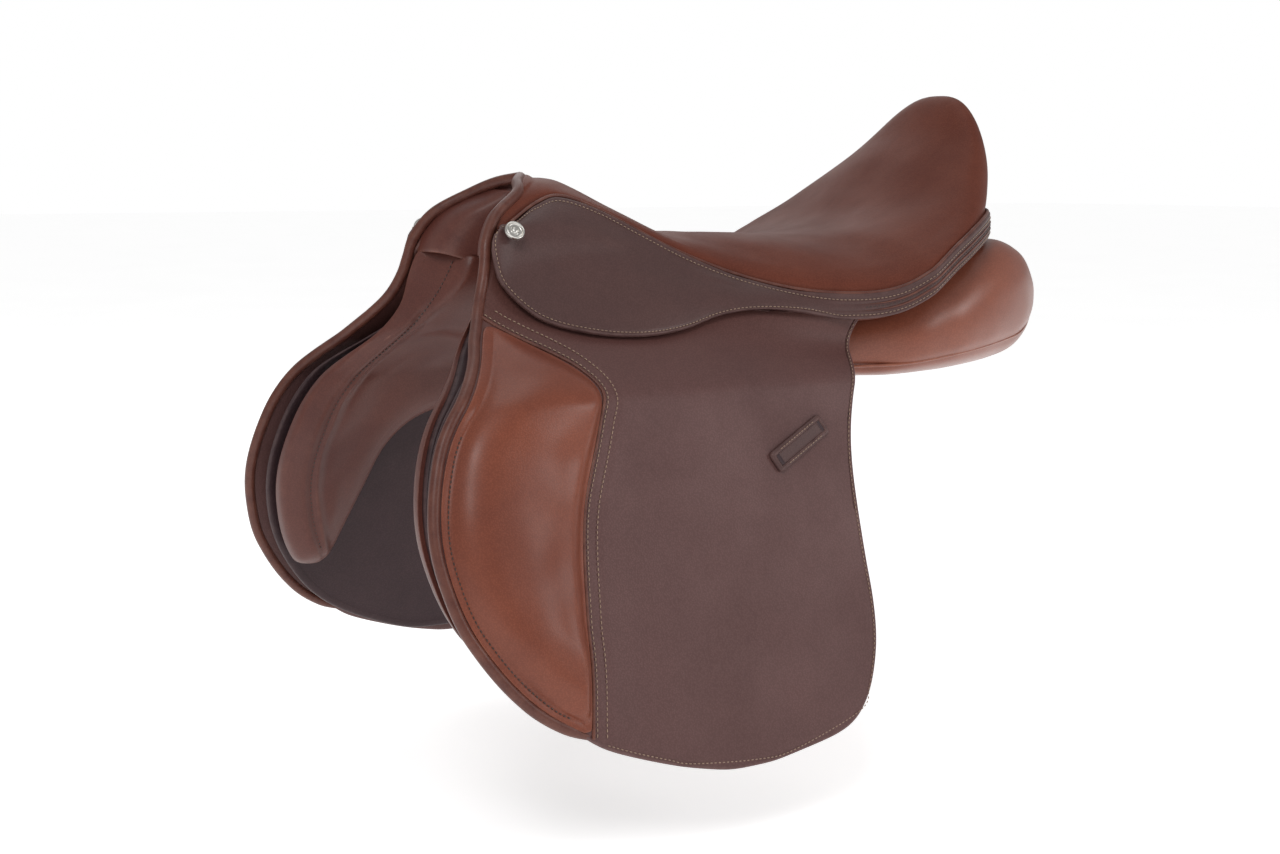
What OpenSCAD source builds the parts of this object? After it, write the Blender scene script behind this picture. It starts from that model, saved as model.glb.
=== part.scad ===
// English general-purpose saddle: spring tree, padded seat, skirts, flaps with knee pads,
// sweat flaps, flocked panels, stirrup bars with thumb catches and girth billets.
// +X runs towards the cantle, +Y towards the off side and +Z up. The origin lies on the
// plane of symmetry, under the deepest part of the seat, level with the panels' bearing face.
// Everything is drawn for the off side (+Y) and mirrored to the near side (-Y).

/* [Seat] */
// Height of the pommel rim
pommel_height = 147; // [144:0.5:150]
// Height of the lowest point of the seat
seat_dip_height = 104; // [103:0.5:106]
// Height of the top of the cantle
cantle_height = 228; // [224:0.5:232]
// Half width of the seat at its widest
seat_half_width = 146; // [144:0.5:148]
// Thickness of the seat foam over the webbing
seat_foam_t = 15; // [12:0.5:16]
// Thickness of the seat leather
seat_leather_t = 2; // [1.4:0.1:2.2]

/* [Flaps] */
// Half width between the flaps' outer faces at the knee
knee_half_width = 141; // [139:0.5:143]
// How far the flaps splay outwards, per millimetre of drop
flap_splay = 0.322; // [0.3:0.002:0.34]
// Lowest point of the flaps, below the panels' bearing face
flap_drop = 236; // [230:1:240]
// Thickness of the flap leather, measured across the saddle
flap_leather_t = 5; // [4:0.25:5]
// Greatest height of the padded knee pad above the flap
knee_pad_rise = 12; // [8:0.5:14]
// Thickness of the sweat flap leather, measured across the saddle
sweat_flap_t = 4.5; // [3.5:0.25:4.5]
// Thickness of the skirt leather, measured across the saddle
skirt_t = 4; // [3:0.25:4]
// Radius of the corded rim round the pommel and the flaps' front edges
rim_r = 4; // [3.5:0.25:4.25]

/* [Girth billets] */
// Width of a billet strap
billet_w = 25; // [24:0.5:26]
// Thickness of a billet strap, measured across the saddle
billet_t = 4.5; // [3.5:0.25:4.5]
// Distance between two neighbouring billets
billet_pitch = 34; // [32:1:36]
// Distance between two buckle holes
hole_pitch = 25; // [24:0.5:26]
// Radius of a buckle hole
hole_r = 2.5; // [2:0.25:2.75]

/* [Stirrup bars] */
// Length of the bar that carries the stirrup leather
bar_length = 62; // [58:1:64]
// Radius of the bar
bar_r = 4.5; // [4:0.25:4.75]

/* [Hidden] */

// ---- Curves ----
function clamp01(t) = min(1, max(0, t));
function smooth(t) = let (c = clamp01(t)) c * c * (3 - 2 * c);
function lerp(a, b, t) = a + (b - a) * t;
function hermite(a, ma, b, mb, t) =
    (2 * t ^ 3 - 3 * t ^ 2 + 1) * a + (t ^ 3 - 2 * t ^ 2 + t) * ma
    + (3 * t ^ 2 - 2 * t ^ 3) * b + (t ^ 3 - t ^ 2) * mb;
function seg(p, x, i = 0) = (i >= len(p) - 2 || x < p[i + 1][0]) ? i : seg(p, x, i + 1);
function slope(p, i) =
    let (a = max(0, i - 1), b = min(len(p) - 1, i + 1)) (p[b][1] - p[a][1]) / (p[b][0] - p[a][0]);
// Smooth curve through stations [place, value], read at x
function curve(p, x) =
    let (i = seg(p, x), w = p[i + 1][0] - p[i][0])
    hermite(p[i][1], slope(p, i) * w, p[i + 1][1], slope(p, i + 1) * w, clamp01((x - p[i][0]) / w));
// The same with the slope given at each station: [place, value, slope]
function sloped(p, x) =
    let (i = seg(p, x), w = p[i + 1][0] - p[i][0])
    hermite(p[i][1], p[i][2] * w, p[i + 1][1], p[i + 1][2] * w, clamp01((x - p[i][0]) / w));
function pass(p, i, t) =
    let (n = len(p), a = p[max(0, i - 1)], b = p[i], c = p[min(n - 1, i + 1)], d = p[min(n - 1, i + 2)])
    0.5 * (2 * b + (c - a) * t + (2 * a - 5 * b + 4 * c - d) * t ^ 2 + (3 * b - a - 3 * c + d) * t ^ 3);
// Smooth path through points, with n steps to a span
function path(p, n) = [for (i = [0:len(p) - 2]) for (k = [0:n - 1]) pass(p, i, k / n), p[len(p) - 1]];
function unit(v) = v / norm(v);
function mean(r) = [for (c = [0:2]) [for (q = r) q[c]] * [for (q = r) 1 / len(r)]];
function steps(n) = [for (k = [0:n]) k / n];

// ---- Solids from points ----
function quad(a, b, c, d) = [[a, b, c], [a, c, d]];
function turned(points, faces) =
    [for (f = faces) points[f[0]] * cross(points[f[1]], points[f[2]])] * [for (f = faces) 1] > 0;
module solid(points, faces) {
    out = turned(points, faces) ? [for (f = faces) [f[2], f[1], f[0]]] : faces;
    polyhedron(points, out, convexity = 8);
}
// A sheet between two skins, each a grid of points [row][column]
module slab(a, b) {
    n = len(a);
    m = len(a[0]);
    o = n * m;
    faces = concat(
        [for (i = [0:n - 2]) for (j = [0:m - 2]) let (q = i * m + j)
            each concat(quad(q, q + 1, q + m + 1, q + m), quad(o + q, o + q + m, o + q + m + 1, o + q + 1))],
        [for (j = [0:m - 2]) let (q = (n - 1) * m + j)
            each concat(quad(j + 1, j, o + j, o + j + 1), quad(q, q + 1, o + q + 1, o + q))],
        [for (i = [0:n - 2]) let (q = i * m, r = i * m + m - 1)
            each concat(quad(q, q + m, o + q + m, o + q), quad(r + m, r, o + r, o + r + m))]);
    solid(concat([for (r = a) each r], [for (r = b) each r]), faces);
}
// A closed body through rings of points, with a fan at each end
module loft(rings) {
    n = len(rings);
    m = len(rings[0]);
    faces = concat(
        [for (i = [0:n - 2]) for (j = [0:m - 1]) let (a = i * m + j, b = i * m + (j + 1) % m)
            each quad(a, b, b + m, a + m)],
        [for (j = [0:m - 1]) [n * m, (j + 1) % m, j]],
        [for (j = [0:m - 1]) [n * m + 1, (n - 1) * m + j, (n - 1) * m + (j + 1) % m]]);
    solid(concat([for (r = rings) each r], [mean(rings[0]), mean(rings[n - 1])]), faces);
}
// A cord of radius r along a path
cord_sides = 8;
module cord(p, r) {
    last = len(p) - 1;
    loft([for (i = [0:last])
        let (t = unit(p[min(last, i + 1)] - p[max(0, i - 1)]), u = unit(cross(t, [0.3, 0.2, 1])),
            v = cross(t, u))
        [for (k = [0:cord_sides - 1]) let (a = 360 * k / cord_sides) p[i] + r * (cos(a) * u + sin(a) * v)]]);
}
// Direction along a path at its point i, and the normal of a strap there that lies across it
function along(p, i) = unit(p[min(len(p) - 1, i + 1)] - p[max(0, i - 1)]);
function face_normal(p, i, across) = unit(cross(along(p, i), is_list(across[0]) ? across[i] : across));
// A flat strap along a path, w wide roughly in the direction across, and t thick;
// it lies the distance below under the path and leaves out some points at the path's two ends
module strap(p, across, w, t, below = 0, skip = [0, 0]) {
    loft([for (i = [skip[0]:len(p) - 1 - skip[1]])
        let (n = face_normal(p, i, across), s = cross(n, along(p, i)))
        [for (c = [[-1, -1], [1, -1], [1, 1], [-1, 1]])
            p[i] + c[0] * w / 2 * s + (c[1] * t / 2 - below) * n]]);
}
module near() {
    mirror([0, 1, 0]) children();
}

// ---- The saddle's shape ----
// Half width of the flaps' outer faces above the knee: [height, half width, slope]
upper_spread = [
    [0, knee_half_width, -flap_splay], [44, knee_half_width - 49, -1.15],
    [65, knee_half_width - 69, -0.55], [110, knee_half_width - 84, -0.55], [148, 11, -3]
];
function spread(z) = z <= 0 ? knee_half_width - flap_splay * z : sloped(upper_spread, z);
// The seat pushes the flaps' tops out towards the rear
top_bulge = 35;
function bulge(x, z) = top_bulge * smooth((x + 100) / 170) * smooth((z - 20) / 40);
function side_y(x, z) = spread(z) + bulge(x, z);
function at_side(x, z, off) = [x, side_y(x, z) + off, z];

// Edges of the flap: [height, place along the saddle]
flap_front = [
    [-flap_drop, -113], [9 - flap_drop, -152], [30 - flap_drop, -210], [-182, -251], [-137, -286],
    [-99, -299], [-66, -301], [-26, -291], [-1, -277], [31, -247], [48, -233], [66, -222], [105, -207]
];
flap_rear = [
    [-flap_drop, -78], [10 - flap_drop, -18], [26 - flap_drop, 6], [-190, 18], [-169, 25], [-144, 28],
    [-116, 28], [-63, 30], [-35, 34], [-12, 41], [9, 50], [42, 68], [55, 80]
];
hinge_z = 36;
hinge_gap = 5;

// Outline of the seat: half width and height of its seam with the skirts, and its centre line
seam_y = [[-186, 53], [-160, 42], [-138, 36], [-109, 42], [-81, 51], [-54, 61], [-28, 74], [22, 103],
    [74, seat_half_width - 16], [112, seat_half_width]];
seam_z = [[-186, 118], [-160, 131], [-138, 136], [-109, 126], [-54, 96], [-3, 75], [47, 66], [92, 71],
    [140, 101], [190, 120], [247, 125]];
seat_line = [
    [-146, pommel_height - 1], [-134, pommel_height], [-118, 144], [-84, 127], [-49, 111.5],
    [-20, seat_dip_height + 1.7], [10, seat_dip_height], [40, seat_dip_height - 0.7], [70, 102],
    [100, 104.5], [130, 114], [160, 137], [190, 175], [215, 208],
    [240, cantle_height], [262, cantle_height + 15]
];
widest_x = 112;
seat_end = 247;
plan_power = 1.85;
function seat_half(x) =
    x <= widest_x ? curve(seam_y, x)
    : let (u = clamp01((x - widest_x) / (seat_end - widest_x)))
        seat_half_width * (1 - u ^ plan_power) ^ (1 / plan_power);
function outward(x) =
    let (a = seat_half(x - 1), b = seat_half(min(seat_end - 0.01, x + 1))) unit([a - b, 2, 0]);
function seam(x) = [x, seat_half(x), curve(seam_z, x)];
function seam_off(x, out, down) = seam(x) + out * outward(x) - [0, 0, down];

// The seat's surface: a dome over each cross line, whose ends sweep forward round the pommel
// and whose top leans back over the seam at the cantle
function dome(r, k) = (1 - min(1, abs(r)) ^ lerp(1.8, 2.7, k)) ^ (1 / lerp(1.6, 1.33, k));
seat_front = -142;
nose_sweep = 35;
cantle_crest = 212;
cantle_lean = 16;
lean_height = 70;
function seat_end_dome(x) = (1 - clamp01((x - cantle_crest) / (seat_end - cantle_crest)) ^ 2.5) ^ 0.48;
function seat_point(x, t, drop, inset) =
    let (xc = x - nose_sweep * (1 - smooth((x - seat_front) / 90)), w = seat_half(xc) - inset,
        edge = curve(seam_z, xc), top = curve(seat_line, x) - drop,
        crown = lerp(edge, top, seat_end_dome(x)),
        rise = (crown - edge) * dome(t, smooth((x - 40) / 130)),
        lean = cantle_lean * smooth((x - 120) / 90) * (1 - (1 - clamp01(rise / lean_height)) ^ 2))
    [lerp(x, xc, abs(t) ^ 1.5) + lean, w * t, edge + rise];
seat_rows = concat([for (k = [0:14]) k * 0.0522], [for (a = [18:12:78]) 0.75 + 0.245 * sin(a)]);
function seat_row_x(v, inset) = lerp(seat_front + inset, seat_end - inset, v);
seat_columns = [-1, -0.97, -0.9, -0.78, -0.6, -0.36, -0.12, 0.12, 0.36, 0.6, 0.78, 0.9, 0.97, 1];
function seat_skin(drop, inset) = [for (v = seat_rows)
    [for (t = seat_columns) seat_point(seat_row_x(v, inset), t, drop, inset)]];

// ---- Tree ----
tree_t = 9;
rail_w = 20;
arch_w = 26;
// Middle line of the pommel arch on one side, from the tree point to the crown
function arch_off(z) = lerp(37, 26.5, smooth((z - 44) / 30));
arch_stations = [[-189, -8], [-189, 10], [-189, 26], [-188, 42], [-186, 58], [-181, 74], [-172, 88]];
arch_side = concat([for (q = arch_stations)
    [q[0], side_y(-188, q[1]) - arch_off(q[1]), q[1]]], [[-157, 26, 99], [-144, 14, 106]]);
arch_line = path(concat([for (q = arch_side) [q[0], -q[1], q[2]]], [[-138, 0, 109]],
    [for (i = [len(arch_side) - 1:-1:0]) arch_side[i]]), 3);
// The arch leans back towards its crown, and so does the direction across it
arch_across = [for (q = arch_line) [1, 0, -1.2 * smooth((q[2] - 60) / 40)]];
rail_stations = [-150, -125, -100, -75, -50, -25, 0, 25, 50, 75, 100, 122];
function rail_y(x) = seat_half(x) - lerp(14, 26, smooth((x + 110) / 100));
function rail_point(x) = [x, rail_y(x), curve(seam_z, x) - 12 - 18 * smooth((-105 - x) / 35)];
rail_line = [for (x = rail_stations) rail_point(x)];
module rail() {
    strap(rail_line, [0, 1, 0], rail_w, tree_t);
}
board_inset = 32;
board_stations = [104, 120, 136, 152, 166, 180, 194];
function board_top(x) = curve(seat_line, x) - lerp(24, 36, smooth((x - 110) / 60));
module cantle_board() {
    skin = [for (x = board_stations)
        [for (t = [-1, -0.8, -0.5, 0, 0.5, 0.8, 1])
            let (w = seat_half(x) - board_inset, low = curve(seam_z, x) - 8)
                [x, w * t, lerp(low, board_top(x), dome(t * 0.93, 1))]]];
    slab(skin, [for (r = skin) [for (q = r) q - [0, 0, tree_t]]]);
}
module tree_frame() {
    color("burlywood") {
        strap(arch_line, arch_across, arch_w, tree_t);
        rail();
        near() rail();
        cantle_board();
    }
}
plate_t = 2;
plate_gap = 1;
plate_off = (tree_t + plate_t) / 2 + plate_gap;
module head_plate() {
    color("slategray")
        strap(arch_line, arch_across, arch_w - 6, plate_t, plate_off, [26, 26]);
}
module gullet_plate() {
    color("slategray")
        strap(arch_line, arch_across, arch_w - 6, plate_t, -plate_off, [13, 13]);
}
module tree_spring() {
    color("lightsteelblue") strap(rail_line, [0, 1, 0], 12, plate_t, plate_off, [2, 0]);
}
module tree_spring_left() {
    near() tree_spring();
}
module tree_spring_right() {
    tree_spring();
}
rivet_t = 1.2;
rivet_gap = 0.6;
// Rivets whose heads hold the springs to the rails, seen from underneath
module tree_rivets() {
    color("silver")
        for (s = [0, 1], i = [3, 5, 7, 9])
            let (n = face_normal(rail_line, i, [0, 1, 0]))
                mirror([0, s, 0])
                    translate(rail_line[i] - n * (plate_off + plate_t / 2 + rivet_gap + rivet_t))
                        rotate([0, atan2(n[0], n[2]), 0]) cylinder(r = 3, h = rivet_t, $fn = 24);
}

// ---- Stirrup bars ----
bar_at = [-168, side_y(-168, 86) - 3.5, 86];
bar_foot = 8;
plate_y = -12.5;
catch_x = bar_length + 5;
pin_r = 1.5;
pin_play = 0.05;
module at_bar() {
    translate(bar_at) children();
}
module across_y(r, y0, y1) {
    translate([0, y1, 0]) rotate([90, 0, 0]) cylinder(r = r, h = y1 - y0, $fn = 32);
}
module stirrup_bar() {
    color("silver") at_bar() {
        rotate([0, 90, 0]) cylinder(r = bar_r, h = bar_length - 2, $fn = 32);
        translate([-bar_foot, plate_y + 2, -bar_r]) cube([bar_foot + 1, -plate_y, 2 * bar_r]);
        translate([-bar_foot, plate_y, -11]) cube([bar_length + bar_foot, 2.5, 22]);
        difference() {
            translate([bar_length - 4, -1.5, -4]) cube([catch_x - bar_length + 8, 3, 8]);
            translate([catch_x, 0, 0]) across_y(pin_r + pin_play, -5, 5);
        }
    }
}
module stirrup_bar_left() {
    near() stirrup_bar();
}
module stirrup_bar_right() {
    stirrup_bar();
}
// Thumb catch on the open end of the bar: two cheeks round the pin and a thumb piece behind
module bar_catch() {
    color("gainsboro") at_bar() translate([catch_x, 0, 0]) {
        difference() {
            union() {
                for (y = [-3.8, 1.8]) translate([-4, y, -4]) cube([12, 2, 8]);
                translate([6, -3.8, -4]) cube([12, 7.6, 8]);
            }
            across_y(pin_r + pin_play, -6, 6);
        }
    }
}
module bar_catch_left() {
    near() bar_catch();
}
module bar_catch_right() {
    bar_catch();
}
module catch_pin() {
    color("dimgray") at_bar() translate([catch_x, 0, 0]) across_y(pin_r, -4, 4);
}
module catch_pin_left() {
    near() catch_pin();
}
module catch_pin_right() {
    catch_pin();
}

// ---- Seat ----
seam_inset = 2.5;
web_t = 1.5;
// Two long straps side by side down the middle and two wide ones across them
long_web_w = 13;
long_web_drop = seat_foam_t + 7;
cross_web_w = 30;
cross_web_drop = seat_foam_t + 12;
module seat_webbing() {
    color("beige") {
        for (y = [-9, 9])
            strap([for (x = [-98:14:98]) [x, y, curve(seat_line, x) - long_web_drop]],
                [0, 1, 0], long_web_w, web_t);
        for (x = [-4, 50])
            strap([for (t = steps(12)) seat_point(x, lerp(-0.7, 0.7, t), cross_web_drop, 3)],
                [1, 0, 0], cross_web_w, web_t);
    }
}
// The foam lies just clear of the leather
foam_gap = 1.6;
module seat_foam() {
    inset = seam_inset + seat_leather_t + foam_gap;
    top = seat_skin(seat_leather_t + foam_gap, inset);
    underside = seat_skin(seat_leather_t + foam_gap + seat_foam_t, inset);
    color("khaki") slab(top, [for (r = underside) [for (q = r) q - [0, 0, 0.5]]]);
}
module seat_cover() {
    color("saddlebrown")
        slab(seat_skin(0, seam_inset), seat_skin(seat_leather_t, seam_inset + seat_leather_t));
}
welt_r = 2;
function round_end(a) = widest_x + (seat_end - widest_x) * sin(a);
side_stations = concat([-184, -172, -160, -148, -138, -124, -109, -95, -81, -67, -54, -41, -28, -15, 0,
    20, 40, 60, 80, 96, 112, 128, 144, 160, 176], [for (a = [28:8:84]) round_end(a)]);
module seat_welt() {
    p = [for (x = side_stations) seam_off(x, -0.3, 5)];
    color("saddlebrown") {
        cord(p, welt_r);
        near() cord(p, welt_r);
    }
}
back_stations = [for (a = [20:8:84]) round_end(a)];
module cantle_back() {
    last = len(back_stations) - 1;
    function face(out, s) = [for (x = back_stations) [for (d = [6, 20])
        let (q = seam_off(x, out, d)) [q[0], s * q[1], q[2]]]];
    function round_back(out) = concat(face(out, 1), [for (i = [last:-1:0]) face(out, -1)[i]]);
    color("saddlebrown") slab(round_back(-7), round_back(-9.5));
}

// ---- Pommel ----
rim_front = [[105, -207], [122, -193], [136, -174], [144, -160], [pommel_height + 1, -149]];
function rim_x(z) = z <= 105 ? curve(flap_front, z) : curve(rim_front, z);
// Middle line of the rim: set in from the flap's front edge and sunk into its face
rim_in = 4.5;
rim_sink = 2.5;
rim_half = concat([for (z = [41, 48, 57, 66, 78, 90, 105, 122, 136])
    [rim_x(z) + rim_in, side_y(-200, z) - rim_sink, z]], [[-160, 16, 143.5]]);
module pommel_rim() {
    color("saddlebrown")
        cord(path(concat([for (q = rim_half) [q[0], -q[1], q[2]]], [[-149, 0, pommel_height]],
            [for (i = [len(rim_half) - 1:-1:0]) rim_half[i]]), 2), rim_r);
}
module pommel_facing() {
    depths = [7, 16, 24];
    function row(q, s) = [for (d = depths)
        let (f = min(1, q[1] / 30)) [q[0] + 6.5, s * max(0.4, q[1] - d * f), q[2] - d * (1 - f) * 0.9 - 2]];
    half = [for (q = rim_half) if (q[2] > 60) q];
    crown = [for (d = depths) [-142.5, 0, pommel_height - 2 - d * 0.9]];
    skin = concat([for (q = half) row(q, 1)], [crown], [for (i = [len(half) - 1:-1:0]) row(half[i], -1)]);
    color("sienna") slab(skin, [for (r = skin) [for (q = r) q + [2, 0, 0]]]);
}

// ---- Skirts ----
// Lower edge of the skirt [place, height], paired with the seam above it
skirt_top = [-184, -172, -160, -138, -109, -81, -54, -28, -3, 22];
skirt_low = [[-207, 104], [-207, 92], [-202, 74], [-181, 53], [-146, 43], [-109, 40], [-75, 43], [-43, 51],
    [-16, 54], [16, 52]];
seam_drop = 8.6;
band_h = 16;
band_stations = concat([47, 74, 100, 124], [for (a = [24:10:84]) round_end(a)]);
skirt_lift = 8;
lobe_span = [3, 16];
fold_a = [-206, 70, 96];
fold_b = [-10, 101, 60];
fold_gap = 3.5;
function fold_z(x) = lerp(fold_a[2], fold_b[2], (x - fold_a[0]) / (fold_b[0] - fold_a[0]));
function skirt_ends(k) = let (l = skirt_low[k])
    [seam_off(skirt_top[k], skirt_t + 0.5, seam_drop), at_side(l[0], l[1], skirt_lift)];
// A point of the skirt's outer face, u of the way down between the ends e
function skirt_point(e, u) = let (q = lerp(e[0], e[1], u), crown = 5 * sin(180 * u))
    [q[0], max(q[1] + crown, side_y(q[0], q[2]) + 7), q[2]];
function fold_u(e) = (e[0][2] - fold_z((e[0][0] + e[1][0]) / 2)) / (e[0][2] - e[1][2]);
function gap_u(e) = fold_gap / (e[0][2] - e[1][2]);
function end_path(e) = path([for (k = [0:len(skirt_top) - 1]) skirt_ends(k)[e]], 2);
fine_ends = let (tops = end_path(0), lows = end_path(1))
    [for (i = [0:len(tops) - 1]) [tops[i], lows[i]]];
module skirt_base() {
    u_end = [for (i = [0:len(fine_ends) - 1]) let (e = fine_ends[i])
        (i < lobe_span[0] || i > lobe_span[1]) ? 1 : fold_u(e) - gap_u(e)];
    front = [for (i = [0:len(fine_ends) - 1]) [for (u = steps(4)) skirt_point(fine_ends[i], u * u_end[i])]];
    band = [for (x = band_stations) let (q = seam_off(x, skirt_t + 0.5, seam_drop))
        [for (u = steps(4)) q - [0, 0, u * band_h]]];
    rear_top = [seat_end + skirt_t + 0.5, 0.6, curve(seam_z, seat_end) - seam_drop];
    rear = [for (u = steps(4)) rear_top - [0, 0, u * band_h]];
    inner = concat([for (r = front) [for (q = r) q - [0, skirt_t, 0]]],
        [for (x = band_stations) let (q = seam_off(x, 0.5, seam_drop))
            [for (u = steps(4)) q - [0, 0, u * band_h]]],
        [[for (q = rear) q - [skirt_t, 0, 0]]]);
    color([0.28, 0.2, 0.19]) slab(concat(front, band, [rear]), inner);
}
module skirt_base_left() {
    near() skirt_base();
}
module skirt_base_right() {
    skirt_base();
}
module skirt_lobe() {
    skin = [for (i = [lobe_span[0]:lobe_span[1]]) let (e = fine_ends[i], a = fold_u(e) + gap_u(e))
        [for (u = steps(5)) skirt_point(e, lerp(a, 1, u))]];
    color([0.28, 0.2, 0.19]) slab(skin, [for (r = skin) [for (q = r) q - [0, skirt_t, 0]]]);
}
module skirt_lobe_left() {
    near() skirt_lobe();
}
module skirt_lobe_right() {
    skirt_lobe();
}
// Round stud that fixes the front of the skirt, with a raised ring and a domed middle
stud_at = [-192, 71, 111];
stud_tilt = 34;
stud_r = 7;
module skirt_stud() {
    color("gainsboro") translate(stud_at) rotate([-90 + stud_tilt, 0, 0]) {
        cylinder(r = stud_r, h = 1.6, $fn = 48);
        difference() {
            cylinder(r = stud_r, h = 2.6, $fn = 48);
            translate([0, 0, 1.6]) cylinder(r = stud_r - 1.4, h = 2, $fn = 48);
        }
        cylinder(r = 2.6, h = 2.4, $fn = 32);
    }
}
module skirt_stud_left() {
    near() skirt_stud();
}
module skirt_stud_right() {
    skirt_stud();
}

// ---- Flaps ----
cord_room = 9.5;
// Top of the fixed part of the flap [place, height]: it is cut away round the stirrup bar
head_top = [[-207, 107], [-200, 106], [-196, 105], [-192, 103], [-184, 68], [-160, 66], [-130, 66],
    [-95, 66], [-60, 66], [-30, 60], [0, 54], [40, 48], [80, 46]];
head_bottom = [-238, -222, -208, -196, -184, -160, -130, -95, -60, -30, 0, 35, 68];
module flap_head() {
    low = hinge_z + hinge_gap;
    skin = [for (i = [0:len(head_top) - 1]) let (t = head_top[i])
        [for (u = steps(4)) let (z = lerp(low, t[1], u))
            at_side(max(rim_x(z) + cord_room + 3 * i, lerp(head_bottom[i], t[0], u)), z, 0)]];
    color([0.3, 0.22, 0.2]) slab(skin, [for (r = skin) [for (q = r) q - [0, flap_leather_t, 0]]]);
}
module flap_head_left() {
    near() flap_head();
}
module flap_head_right() {
    flap_head();
}
flap_rows = 18;
flap_hang = hinge_z - hinge_gap;
function flap_z(k) = flap_hang - (flap_hang + flap_drop) * (1 - (1 - k / flap_rows) ^ 1.3);
// How much longer than its normal distance a level inset from the front edge is
function front_slant(z) = norm([1, (curve(flap_front, z + 2) - curve(flap_front, z - 2)) / 4]);
function cord_inset(z) = cord_room * front_slant(z) * smooth((z + flap_drop - 24) / 12);
rim_end = 14;
module flap() {
    skin = [for (k = [0:flap_rows])
        let (z = flap_z(k), a = curve(flap_front, z) + cord_inset(z), b = curve(flap_rear, z))
        [for (u = steps(8)) at_side(lerp(a, b, u), z, 0)]];
    color([0.3, 0.22, 0.2]) slab(skin, [for (r = skin) [for (q = r) q - [0, flap_leather_t, 0]]]);
}
module flap_left() {
    near() flap();
}
module flap_right() {
    flap();
}
module flap_rim() {
    color("saddlebrown")
        cord([for (k = [0:rim_end]) let (z = flap_z(k))
            [curve(flap_front, z) + rim_in * front_slant(z), side_y(-200, z) - rim_sink, z]], rim_r);
}
module flap_rim_left() {
    near() flap_rim();
}
module flap_rim_right() {
    flap_rim();
}
// Knee pad: its rear edge [height, place] and the heights of its top and bottom
knee_rear = [[-200, -206], [-160, -199], [-131, -197], [-67, -187], [-20, -168], [1, -160], [17, -156],
    [30, -163]];
knee_top = 29;
knee_bottom = -196;
knee_front_in = 11;
// How full a cushion is, from 0 at its edges to 1 in the middle
function fullness(u, v) = sqrt(max(0, sin(180 * u)) * max(0, sin(180 * v)));
module knee_pad() {
    function face(rise) = [for (v = steps(12))
        let (z = lerp(knee_top, knee_bottom, v),
            a = curve(flap_front, z) + knee_front_in * front_slant(z), b = curve(knee_rear, z))
        [for (u = steps(8)) at_side(lerp(a, b, u), z, rise * fullness(u, v))]];
    base = face(0);
    color("sienna") slab([for (r = face(knee_pad_rise)) [for (q = r) q + [0, 2, 0]]],
        [for (r = base) [for (q = r) q + [0, 0.9, 0]]]);
}
module knee_pad_left() {
    near() knee_pad();
}
module knee_pad_right() {
    knee_pad();
}
// Leather keeper stitched across the flap, with a tunnel for the end of the stirrup leather
keeper = [54, 3.5, 15.6];
keeper_at = [-14, -36];
keeper_turn = 28;
keeper_foot = 5;
flap_tilt = atan(flap_splay);
module on_flap(x, z, off) {
    translate(at_side(x, z, 0)) rotate([flap_tilt, 0, 0]) translate([0, off, 0]) children();
}
module leather_keeper() {
    color([0.3, 0.2, 0.18]) on_flap(keeper_at[0], keeper_at[1], 0.3) rotate([0, -keeper_turn, 0])
        translate([-keeper[0] / 2, 0, -keeper[2] / 2]) difference() {
            cube(keeper);
            translate([keeper_foot, -1, -1]) cube([keeper[0] - 2 * keeper_foot, 2.8, keeper[2] + 2]);
        }
}
module leather_keeper_left() {
    near() leather_keeper();
}
module leather_keeper_right() {
    leather_keeper();
}

// ---- Sweat flaps and panels ----
sweat_off = 20;
function sweat_front(z) = curve(flap_front, z) + lerp(9, -3, smooth((z + 190) / 70));
module sweat_flap() {
    rows = [for (k = [0:14]) 46 - 270 * (1 - (1 - k / 14) ^ 1.2)];
    skin = [for (z = rows) let (a = sweat_front(z) + (z > 20 ? 8 : 0), b = curve(flap_rear, z) - 12)
        [for (u = steps(6)) at_side(lerp(a, b, u), z, -sweat_off)]];
    color([0.22, 0.17, 0.17]) slab(skin, [for (r = skin) [for (q = r) q - [0, sweat_flap_t, 0]]]);
}
module sweat_flap_left() {
    near() sweat_flap();
}
module sweat_flap_right() {
    sweat_flap();
}
// Panel cushion sections: [place, inner edge, outer edge, underside, top]
panel_stations = [
    [-84, 34, 60, 30, 70], [-60, 34, 68, 8, 62], [0, 34, 84, 0, 44], [50, 34, 92, 0, 42],
    [80, 34, 106, 0, 46], [110, 35, 124, 0, 56], [150, 36, 128, 1, 76], [190, 37, 122, 2, 90],
    [225, 38, 108, 4, 96],
    [254, 40, 94, 8, 95], [273, 45, 82, 18, 84], [282, 54, 70, 36, 68]
];
panel_power = 2.6;
panel_skin_t = 2.5;
function pick(c) = [for (s = panel_stations) [s[0], s[c]]];
function power(v) = sign(v) * abs(v) ^ (2 / panel_power);
function panel_ring(x, inset, angles) =
    let (y0 = curve(pick(1), x), y1 = curve(pick(2), x),
        z0 = curve(pick(3), x), z1 = curve(pick(4), x))
    [for (a = angles) [x, (y0 + y1) / 2 + ((y1 - y0) / 2 - inset) * power(cos(a)),
        (z0 + z1) / 2 + ((z1 - z0) / 2 - inset) * power(sin(a))]];
panel_rows = [-84, -72, -60, -35, -10, 20, 50, 70, 90, 110, 130, 150, 175, 200, 220, 238, 254, 266, 275,
    282];
module panel() {
    angles = [for (k = [0:14]) 142 + k * 256 / 14];
    color("saddlebrown") slab([for (x = panel_rows) panel_ring(x, 0, angles)],
        [for (x = panel_rows) panel_ring(x, panel_skin_t, angles)]);
}
module panel_left() {
    near() panel();
}
module panel_right() {
    panel();
}
module panel_flock() {
    angles = [for (k = [0:11]) k * 30];
    color("ivory")
        loft([for (x = panel_rows) if (x > -80 && x < 280) panel_ring(x, panel_skin_t + 0.8, angles)]);
}
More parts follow.
